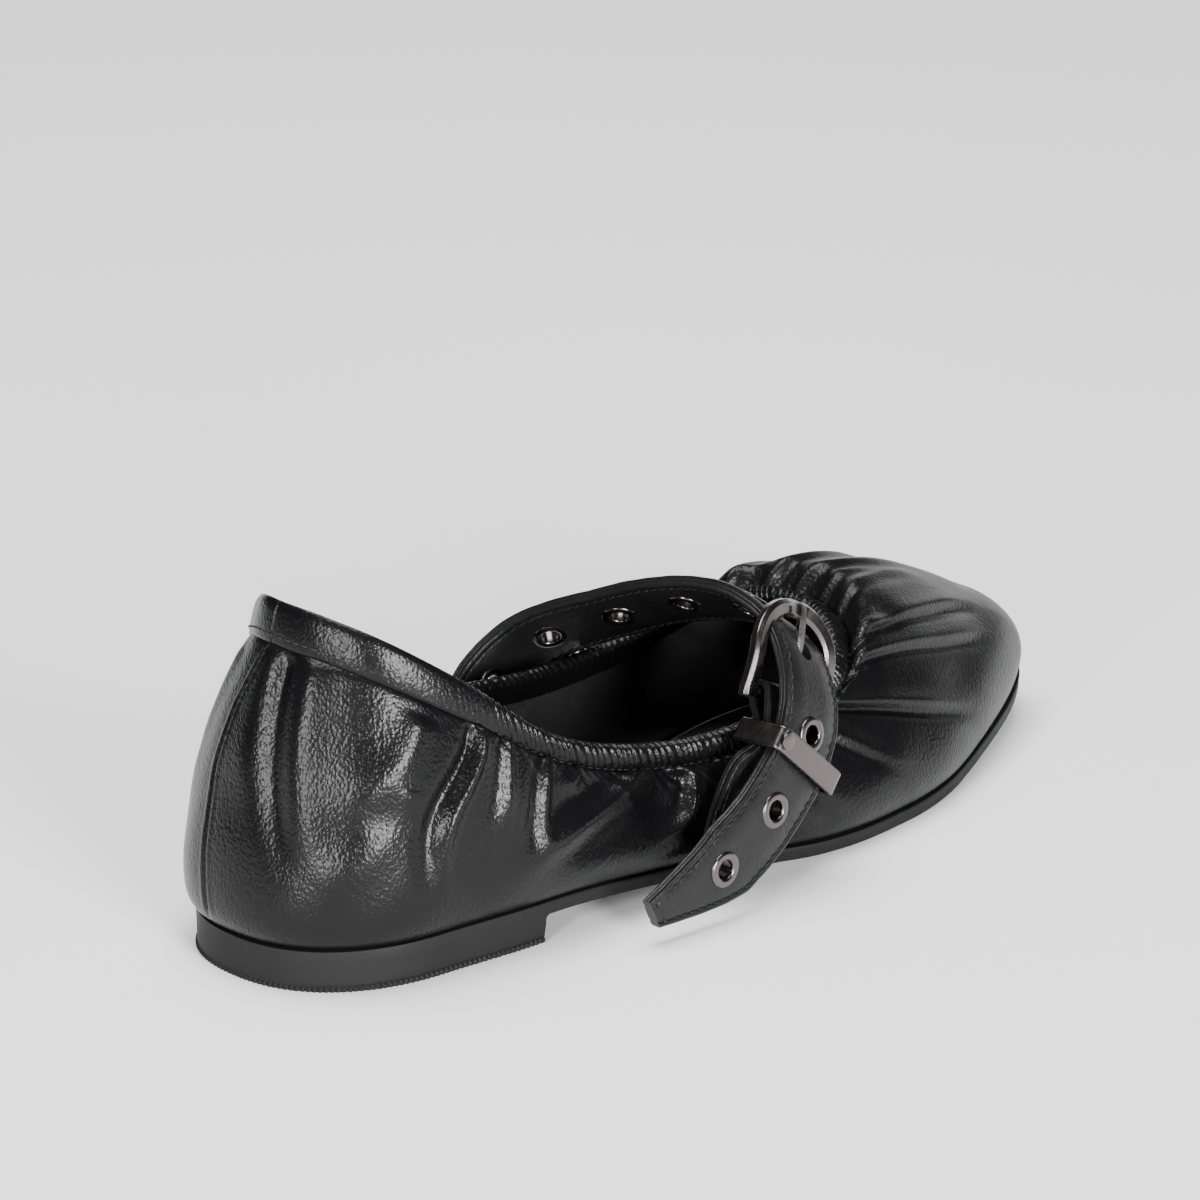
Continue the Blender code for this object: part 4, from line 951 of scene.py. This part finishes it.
reach = PIN_DIAMETER / 2 + GAP + PRONG_THICKNESS / 2
rest = FRAME_DEPTH / 2 + GAP + PRONG_THICKNESS / 2
prong_stops = [(reach * math.cos(a), reach * math.sin(a)) for a in np.radians(np.arange(300, 60, -24))]
prong_stops += [(frame_length * 0.34, rest * 0.72), (frame_length * 0.62, rest * 1.02),
                (frame_length * 0.85, rest), (frame_length, rest), (frame_length + FRAME_BAR * 0.36, rest)]
prong_line = np.array([pin + a * forward + b * out_bar for a, b in prong_stops])
prong_line, _ = smooth_curve(prong_line, 60)
prong_flow = unit(np.gradient(prong_line, axis=0))
prong_rings = []
for k, place in enumerate(prong_line):
    up_way = unit(np.cross(across_bar, prong_flow[k]))
    narrow = 1 - 0.25 * smooth((k - 50) / 10)
    prong_rings.append(bar_ring(place, across_bar, up_way, PRONG_WIDTH / 2 * narrow,
                                PRONG_THICKNESS / 2 * narrow, PRONG_THICKNESS * 0.28 * narrow))
prong = loft("buckle_tongue", prong_rings, 40)

# %% The short strap folded round the pin
def layer_path():
    middle, wide, out, _ = at_share(STRAP, KEEPER_SHARE)
    within = middle - unit(out) * KEEPER_TO_LAYER
    ends = []
    for place, way in ((within, wide), (pin, across_bar)):
        ends.append((*place, math.degrees(math.atan2(-way[2], way[0]))))
    rows = np.concatenate([table_stops(LAYER_PATH), np.array(ends)])
    place, wide, out, flow, length = path_of(rows, -1, LAYER_THICKNESS * 2 + GAP, 24)
    near = smooth((np.linspace(0, 1, len(place)) - 0.5) / 0.5)[:, None]
    wide = unit(wide * (1 - near) + across_bar * near)
    return place, wide, -unit(np.cross(flow, wide)), flow, length


LAYER = layer_path()
centre, width, normal, tangent, layer_length = refined(LAYER, 96)
left = np.linspace(layer_length, 0, len(centre))
turn_radius = PIN_DIAMETER / 2 + GAP + LAYER_THICKNESS / 2
spread = LAYER_THICKNESS / 2 + GAP / 2
offset = spread + (turn_radius - spread) * (1 - smooth(left / 0.010))


def thin_ring(place, wide, out, half_width):
    section = ribbon_section(half_width, LAYER_THICKNESS / 2, 0.0016, 1)
    return place + section[:, :1] * wide + section[:, 1:] * out


layer_rings = []
for k in range(len(centre)):
    skew = np.linalg.norm(np.cross(width[k], tangent[k]))
    shift = offset[k] * float(smooth((layer_length - left[k]) / 0.008))
    layer_rings.append(thin_ring(centre[k] - shift * normal[k], width[k], -normal[k], LAYER_WIDTH / 2 / skew))
end_width, end_out = width[-1], normal[-1]
climb = unit(np.cross(end_out, end_width))
climb = climb if climb.dot(tangent[-1]) > 0 else -climb
for angle in np.linspace(0, math.pi, 25)[1:-1]:
    radial = -math.cos(angle) * end_out + math.sin(angle) * climb
    layer_rings.append(thin_ring(centre[-1] + turn_radius * radial, end_width, radial, LAYER_WIDTH / 2))
for k in range(len(centre) - 1, int(len(centre) * 0.36), -1):
    skew = np.linalg.norm(np.cross(width[k], tangent[k]))
    layer_rings.append(thin_ring(centre[k] + offset[k] * normal[k], width[k], normal[k], LAYER_WIDTH / 2 / skew))
short_strap = loft("short_strap", layer_rings, 50)

# %% The slot in the fold, where the prong comes out
bpy.ops.object.select_all(action="DESELECT")
bpy.ops.mesh.primitive_cube_add(size=1.0)
slot_block = bpy.context.object
slot_block.matrix_world = (basis(centre[-1] + climb * turn_radius * 0.4, climb, end_width, end_out)
                           @ Matrix.Diagonal((0.009, PRONG_WIDTH + 2 * SIDE_PLAY, 0.018, 1)))
only(short_strap)
cut = short_strap.modifiers.new("slot", "BOOLEAN")
cut.operation, cut.solver, cut.object = "DIFFERENCE", "EXACT", slot_block
bpy.ops.object.modifier_apply(modifier="slot")
bpy.data.objects.remove(slot_block, do_unlink=True)
bpy.ops.object.shade_smooth_by_angle(angle=math.radians(50))

# %% The metal loop round both straps
middle, wide, out, _ = at_share(STRAP, KEEPER_SHARE)
wide = unit(wide)
out = unit(out - wide * out.dot(wide))
path_way = unit(np.cross(wide, out))
half_loop = STRAP_WIDTH / 2 + SIDE_PLAY + KEEPER_THICKNESS / 2
front = STRAP_THICKNESS / 2 + EYELET_RIM / 2 + 2 * GAP + KEEPER_THICKNESS / 2
back = front - KEEPER_DEPTH
corner = KEEPER_THICKNESS * 0.75
loop_rings = []
for a, b, start in ((1, 1, 0), (-1, 1, 90), (-1, -1, 180), (1, -1, 270)):
    for angle in np.radians(np.linspace(start, start + 90, 7)):
        outward = math.cos(angle) * wide + math.sin(angle) * out
        place = (middle + a * (half_loop - corner) * wide
                 + ((front if b > 0 else back) - b * corner) * out + corner * outward)
        loop_rings.append(bar_ring(place, path_way, outward, KEEPER_BAR / 2, KEEPER_THICKNESS / 2,
                                   KEEPER_THICKNESS * 0.20))
metal_loop = loft("metal_loop", loop_rings, 26, closed_path=True)
crisp(metal_loop, 0.00010)

# %% The round boss at the rear end of the loop's outer bar
bpy.ops.object.select_all(action="DESELECT")
bpy.ops.mesh.primitive_cylinder_add(vertices=56, radius=0.0020, depth=0.0010)
boss = bpy.context.object
side_of_heel = -1.0 if wide[0] > 0 else 1.0
boss_place = (middle + side_of_heel * (half_loop + KEEPER_THICKNESS / 2 - 0.0021) * wide
              + (front + KEEPER_THICKNESS / 2 - 0.0002) * out)
boss.data.transform(basis(boss_place, wide, np.cross(out, wide), out))
only(boss)
bpy.ops.object.mode_set(mode="EDIT")
bpy.ops.mesh.select_all(action="SELECT")
bpy.ops.mesh.normals_make_consistent(inside=False)
bpy.ops.object.mode_set(mode="OBJECT")
crisp(boss, 0.00014)
boss.select_set(True)
metal_loop.select_set(True)
bpy.context.view_layer.objects.active = metal_loop
bpy.ops.object.join()

# %% [markdown]
# ## Stitches
# A stitch is a short rounded bar of thread that dips into the leather at both ends. One is made,
# and copies with only a few dozen faces each are laid along every seam.

# %% One stitch, and a way to lay a row of them
def stitch_shape(length, radius):
    rings = []
    for share in np.linspace(0, 1, 7):
        fat = radius * (0.55 + 0.45 * math.sin(math.pi * share) ** 0.5)
        lift = radius * 1.3 * math.sin(math.pi * share) ** 0.7 - radius * 0.6
        rings.append([(length * (share - 0.5), fat * math.cos(a), lift + fat * math.sin(a))
                      for a in np.arange(6) * math.pi / 3])
    return np.array(rings)


def stitch_row(name, places, flows, outs, length, radius):
    shape = stitch_shape(length, radius)
    count, size = shape.shape[:2]
    faces = grid_faces(count, size, closed_columns=True)
    faces += [list(range(size))[::-1], [(count - 1) * size + k for k in range(size)]]
    points, all_faces = [], []
    for place, flow, out in zip(places, flows, outs):
        side_way = np.cross(out, flow)
        turned = (place + shape.reshape(-1, 3)[:, :1] * flow + shape.reshape(-1, 3)[:, 1:2] * side_way
                  + shape.reshape(-1, 3)[:, 2:] * out)
        all_faces += [[v + len(points) * count * size for v in f] for f in faces]
        points.append(turned)
    return new_piece(name, np.concatenate(points), all_faces, 80)


def evenly(line, spacing):
    """Indices of a line's points that lie one spacing apart."""
    travelled = np.concatenate([[0], np.cumsum(np.linalg.norm(np.diff(line, axis=0), axis=1))])
    return np.searchsorted(travelled, np.arange(spacing / 2, travelled[-1], spacing))


# %% Stitches under the elastic and along the hem
stitch_turns = np.linspace(0, 1, 4001)
hem_part = 1 - smooth(band_share(stitch_turns) * 2)
seat = stitch_line(stitch_turns)
above = unit(topline(stitch_turns) - seat)
lean = topline_value("lean", stitch_turns)[:, None]
flat_out = np.concatenate([edge_outward(stitch_turns), np.zeros((len(stitch_turns), 1))], -1)
leather_out = flat_out * np.sin(lean) + np.array([0, 0, 1.0]) * np.cos(lean)
line = seat + above * (0.0012 * hem_part - 0.0003 * (1 - hem_part))[:, None]
line = line + leather_out * (0.00045 * hem_part - 0.00002)[:, None]
flow = unit(np.gradient(line, axis=0))
chosen = evenly(line, 0.0023)
edge_stitches = stitch_row("edge_stitches", line[chosen], flow[chosen], leather_out[chosen], 0.0019, 0.00022)

# %% Stitches beside the back seam
seam_places, seam_flows, seam_outs = [], [], []
column_of = lambda turn: int(round((turn % 1.0) * COLUMNS)) % COLUMNS
for side_way in (0,):
    rows = np.arange(3, ROWS - 1)
    line = np.array([outer_skin[r, column_of(seam_turn[r])] for r in rows])
    outs = np.array([wall_out[r, column_of(seam_turn[r])] for r in rows])
    for _ in range(3):
        line[1:-1] = (line[:-2] + line[1:-1] * 2 + line[2:]) / 4
    fine = np.linspace(0, len(line) - 1, 1200)
    line = np.stack([np.interp(fine, np.arange(len(line)), line[:, k]) for k in range(3)], 1)
    outs = unit(np.stack([np.interp(fine, np.arange(len(outs)), outs[:, k]) for k in range(3)], 1))
    flow = unit(np.gradient(line, axis=0))
    chosen = evenly(line, 0.0021)
    chosen = chosen[chosen < len(line)]
    seam_places.append(line[chosen])
    seam_flows.append(flow[chosen])
    seam_outs.append(outs[chosen])
seam_stitches = stitch_row("seam_stitches", np.concatenate(seam_places), np.concatenate(seam_flows),
                           np.concatenate(seam_outs), 0.0013, 0.00018)

# %% Stitches in the long strap's grooves
def strap_stitches(name, path, half_of, face, count_faces, spacing, keep):
    places, flows, outs = [], [], []
    place, wide, out, flow, length = path
    left = np.linspace(length, 0, len(place))
    for side_way in (-1, 1):
        for sign in count_faces:
            half_width = np.array([half_of(value) for value in left])
            skew = np.linalg.norm(np.cross(wide, flow), axis=1)
            line = (place + wide * (side_way * (half_width - 0.0015) / skew)[:, None]
                    + out * sign * (face - 0.00016))
            way = unit(np.gradient(line, axis=0))
            fine_run = np.linspace(0, 1, 4000)
            dense = np.stack([np.interp(fine_run, np.linspace(0, 1, len(line)), line[:, k]) for k in range(3)], 1)
            dense_out = np.stack([np.interp(fine_run, np.linspace(0, 1, len(line)), (out * sign)[:, k])
                                  for k in range(3)], 1)
            way = unit(np.gradient(dense, axis=0))
            chosen = evenly(dense, spacing)
            chosen = chosen[(fine_run[chosen] > keep[0]) & (fine_run[chosen] < keep[1])]
            places.append(dense[chosen])
            flows.append(way[chosen])
            outs.append(unit(dense_out[chosen]))
    return stitch_row(name, np.concatenate(places), np.concatenate(flows), np.concatenate(outs),
                      spacing * 0.82, 0.00019)


long_stitches = strap_stitches("long_strap_stitches", fine_strap, tapered, STRAP_THICKNESS / 2,
                               (1, -1), 0.0024, (0.06, 0.985))

# %% [markdown]
# ## Finishes
# Leather is a dark body under a thin clear finish. Its grain is a network of tiny creases, so the
# bump comes from the borders of Voronoi cells, bent by noise to look grown and not tiled. The gloss
# changes slightly from place to place. Everything reads object coordinates, because all pieces
# share one origin and the grain then runs on unbroken.

# %% A helper that builds one finish
def finish(name, color, roughness, metallic=0.0, coat=0.0, coat_roughness=0.1, specular=0.5):
    material = bpy.data.materials.new(name)
    material.use_nodes = True
    shader = material.node_tree.nodes["Principled BSDF"]
    shader.inputs["Base Color"].default_value = (*color, 1.0)
    shader.inputs["Roughness"].default_value = roughness
    shader.inputs["Metallic"].default_value = metallic
    shader.inputs["Coat Weight"].default_value = coat
    shader.inputs["Coat Roughness"].default_value = coat_roughness
    shader.inputs["Specular IOR Level"].default_value = specular
    return material


def node(material, kind, **settings):
    made = material.node_tree.nodes.new(kind)
    for key, value in settings.items():
        if key in made.inputs:
            made.inputs[key].default_value = value
        else:
            setattr(made, key, value)
    return made


def link(material, source, target):
    material.node_tree.links.new(source, target)


def grain(material, cell, stretch, depth, fine_depth, crumple=0.0):
    """Crinkled leather grain: bent Voronoi borders plus a finer noise, as one bump chain."""
    shader = material.node_tree.nodes["Principled BSDF"]
    place = node(material, "ShaderNodeTexCoord")
    scale = node(material, "ShaderNodeMapping")
    scale.inputs["Scale"].default_value = stretch
    link(material, place.outputs["Object"], scale.inputs["Vector"])
    bend = node(material, "ShaderNodeTexNoise", Scale=0.45 / cell, Detail=3.0)
    link(material, scale.outputs["Vector"], bend.inputs["Vector"])
    shift = node(material, "ShaderNodeVectorMath", operation="MULTIPLY_ADD")
    shift.inputs[1].default_value = (cell * 1.3,) * 3
    link(material, bend.outputs["Color"], shift.inputs[0])
    link(material, scale.outputs["Vector"], shift.inputs[2])
    cells = node(material, "ShaderNodeTexVoronoi", feature="SMOOTH_F1", Scale=1.0 / cell, Smoothness=0.6)
    link(material, shift.outputs["Vector"], cells.inputs["Vector"])
    pebble = node(material, "ShaderNodeMapRange")
    pebble.inputs["From Max"].default_value = 0.75
    pebble.inputs["To Min"].default_value, pebble.inputs["To Max"].default_value = 1.0, 0.0
    link(material, cells.outputs["Distance"], pebble.inputs["Value"])
    first = node(material, "ShaderNodeBump", Distance=depth, Strength=1.0)
    link(material, pebble.outputs["Result"], first.inputs["Height"])
    pores = node(material, "ShaderNodeTexNoise", Scale=2.6 / cell, Detail=4.0)
    link(material, scale.outputs["Vector"], pores.inputs["Vector"])
    second = node(material, "ShaderNodeBump", Distance=fine_depth, Strength=0.7)
    link(material, pores.outputs["Fac"], second.inputs["Height"])
    link(material, first.outputs["Normal"], second.inputs["Normal"])
    if crumple:
        creased = node(material, "ShaderNodeTexNoise", Scale=0.50 / cell, Detail=3.0, Distortion=0.6)
        link(material, scale.outputs["Vector"], creased.inputs["Vector"])
        third = node(material, "ShaderNodeBump", Distance=crumple, Strength=1.0)
        link(material, creased.outputs["Fac"], third.inputs["Height"])
        link(material, third.outputs["Normal"], first.inputs["Normal"])
    link(material, second.outputs["Normal"], shader.inputs["Normal"])
    link(material, second.outputs["Normal"], shader.inputs["Coat Normal"])
    return place


def uneven(material, place, low, high, scale, duller_to_toe=0.0):
    """Roughness that drifts between two values, and may grow from heel to toe."""
    shader = material.node_tree.nodes["Principled BSDF"]
    drift = node(material, "ShaderNodeTexNoise", Scale=scale, Detail=3.0)
    link(material, place.outputs["Object"], drift.inputs["Vector"])
    span = node(material, "ShaderNodeMapRange")
    span.inputs["From Min"].default_value, span.inputs["From Max"].default_value = 0.3, 0.7
    span.inputs["To Min"].default_value, span.inputs["To Max"].default_value = low, high
    link(material, drift.outputs["Fac"], span.inputs["Value"])
    if not duller_to_toe:
        link(material, span.outputs["Result"], shader.inputs["Roughness"])
        return
    parts = node(material, "ShaderNodeSeparateXYZ")
    link(material, place.outputs["Object"], parts.inputs["Vector"])
    forward_part = node(material, "ShaderNodeMapRange")
    forward_part.inputs["From Min"].default_value, forward_part.inputs["From Max"].default_value = 0.06, 0.16
    forward_part.inputs["To Max"].default_value = duller_to_toe
    link(material, parts.outputs["X"], forward_part.inputs["Value"])
    total = node(material, "ShaderNodeMath", operation="ADD")
    link(material, span.outputs["Result"], total.inputs[0])
    link(material, forward_part.outputs["Result"], total.inputs[1])
    link(material, total.outputs["Value"], shader.inputs["Roughness"])


# %% Leather, lining, rubber, thread and metal
soft_leather = finish("gathered_leather_finish", (0.0024, 0.0024, 0.0027), 0.30, coat=0.07, coat_roughness=0.17,
                      specular=0.17)
place = grain(soft_leather, 0.0007, (1.0, 1.0, 0.8), 0.00007, 0.00003, 0.00006)
uneven(soft_leather, place, 0.25, 0.34, 60, 0.07)

strap_leather = finish("strap_leather_finish", (0.0048, 0.0048, 0.0052), 0.38, coat=0.10, coat_roughness=0.22,
                       specular=0.20)
place = grain(strap_leather, 0.0007, (1.0, 1.0, 0.6), 0.00005, 0.00003, 0.00005)
uneven(strap_leather, place, 0.36, 0.48, 120)

lining_leather = finish("lining_finish", (0.0090, 0.0090, 0.0095), 0.72)
place = grain(lining_leather, 0.0008, (1.0, 1.0, 1.0), 0.00005, 0.00005)

rubber = finish("sole_rubber_finish", (0.0062, 0.0062, 0.0066), 0.60, specular=0.22)
place = grain(rubber, 0.0005, (1.0, 1.0, 1.0), 0.00003, 0.00003)
uneven(rubber, place, 0.54, 0.68, 70)

thread = finish("thread_finish", (0.007, 0.007, 0.0075), 0.55, specular=0.3)
place = grain(thread, 0.0002, (1.0, 1.0, 1.0), 0.00003, 0.00002)

nickel = finish("dark_nickel_finish", (0.115, 0.102, 0.099), 0.24, metallic=1.0, coat=0.2, coat_roughness=0.08)
place = grain(nickel, 0.0016, (1.0, 1.0, 1.0), 0.000008, 0.000004)
uneven(nickel, place, 0.19, 0.30, 300)

# %% Put each finish on its pieces
def dress(piece, material):
    piece.data.materials.clear()
    piece.data.materials.append(material)
    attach(piece, "root")


dress(gathered_upper, soft_leather)
dress(topline_band, soft_leather)
dress(lining, lining_leather)
dress(sock, lining_leather)
dress(moulded_sole, rubber)
dress(heel_tread, rubber)
dress(long_strap, strap_leather)
dress(short_strap, strap_leather)
for piece in (edge_stitches, seam_stitches):
    dress(piece, thread)
dress(long_stitches, thread)
for piece in eyelet_rings + [horseshoe, cross_pin, prong, metal_loop]:
    dress(piece, nickel)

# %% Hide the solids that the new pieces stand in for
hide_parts("upper")
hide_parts("insole")
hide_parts("outsole")
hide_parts("strap")
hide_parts("buckle_strap")
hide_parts("buckle_frame")
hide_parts("buckle_pin")
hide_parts("buckle_prong")
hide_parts("keeper")
for number, ring in enumerate(eyelet_rings, 1):
    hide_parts("eyelet_%d" % number)

# %% [markdown]
# ## Floor, light and camera
# Black leather is seen almost only by what it mirrors. Large soft lights above and at the sides
# draw its form, and the darker room in front keeps it black. The camera has a long lens, so
# the shoe is hardly foreshortened.

# %% Floor
bpy.ops.object.select_all(action="DESELECT")
bpy.ops.mesh.primitive_plane_add(size=8.0, location=(0, 0, -0.0001))
floor = bpy.context.object
floor.name = "pale_floor"
paper = finish("pale_paper", (0.89, 0.89, 0.895), 0.9)
paper_place = node(paper, "ShaderNodeTexCoord")
paper_noise = node(paper, "ShaderNodeTexNoise", Scale=60.0, Detail=4.0)
link(paper, paper_place.outputs["Object"], paper_noise.inputs["Vector"])
paper_bump = node(paper, "ShaderNodeBump", Distance=0.0001, Strength=0.3)
link(paper, paper_noise.outputs["Fac"], paper_bump.inputs["Height"])
link(paper, paper_bump.outputs["Normal"], paper.node_tree.nodes["Principled BSDF"].inputs["Normal"])
floor.data.materials.append(paper)

# %% Lights
def soft_light(name, place, aim, size, watts):
    lamp = bpy.data.lights.new(name, "AREA")
    lamp.shape, lamp.size, lamp.size_y, lamp.energy = "RECTANGLE", size[0], size[1], watts
    holder = bpy.data.objects.new(name, lamp)
    holder.location = place
    holder.rotation_euler = (Vector(aim) - Vector(place)).to_track_quat("-Z", "Y").to_euler()
    holder.visible_camera = False
    bpy.context.scene.collection.objects.link(holder)
    return holder


soft_light("overhead", (-0.05, 0.10, 1.70), (0.08, 0.0, 0.0), (1.3, 1.2), 52)
soft_light("back_panel", (1.45, 1.35, 0.40), (0.08, 0.0, 0.05), (2.2, 0.6), 8)
soft_light("heel_strip", (-1.55, -0.58, 0.45), (0.0, 0.0, 0.04), (0.26, 0.8), 32)
soft_light("quarter_panel", (-0.38, -1.65, 0.42), (0.0, 0.0, 0.04), (0.52, 0.70), 70)
soft_light("toe_panel", (2.0, 0.20, 0.55), (0.15, 0.0, 0.03), (1.2, 0.9), 2)

room = bpy.data.worlds.new("room")
room.use_nodes = True
room.node_tree.nodes["Background"].inputs["Color"].default_value = (0.95, 0.97, 1.0, 1.0)
room.node_tree.nodes["Background"].inputs["Strength"].default_value = 0.10
bpy.context.scene.world = room

# %% Camera
CAMERA_PLACE = Vector((-0.86428, -0.98619, 0.55563))
CAMERA_AIM = Vector((0.08722, 0.01326, 0.05338))
lens = bpy.data.cameras.new("camera")
lens.sensor_width, lens.lens = 36.0, 194.92
lens.clip_start, lens.clip_end = 0.05, 50
camera = bpy.data.objects.new("camera", lens)
camera.location = CAMERA_PLACE
camera.rotation_euler = (CAMERA_AIM - CAMERA_PLACE).to_track_quat("-Z", "Y").to_euler()
bpy.context.scene.collection.objects.link(camera)
bpy.context.scene.camera = camera
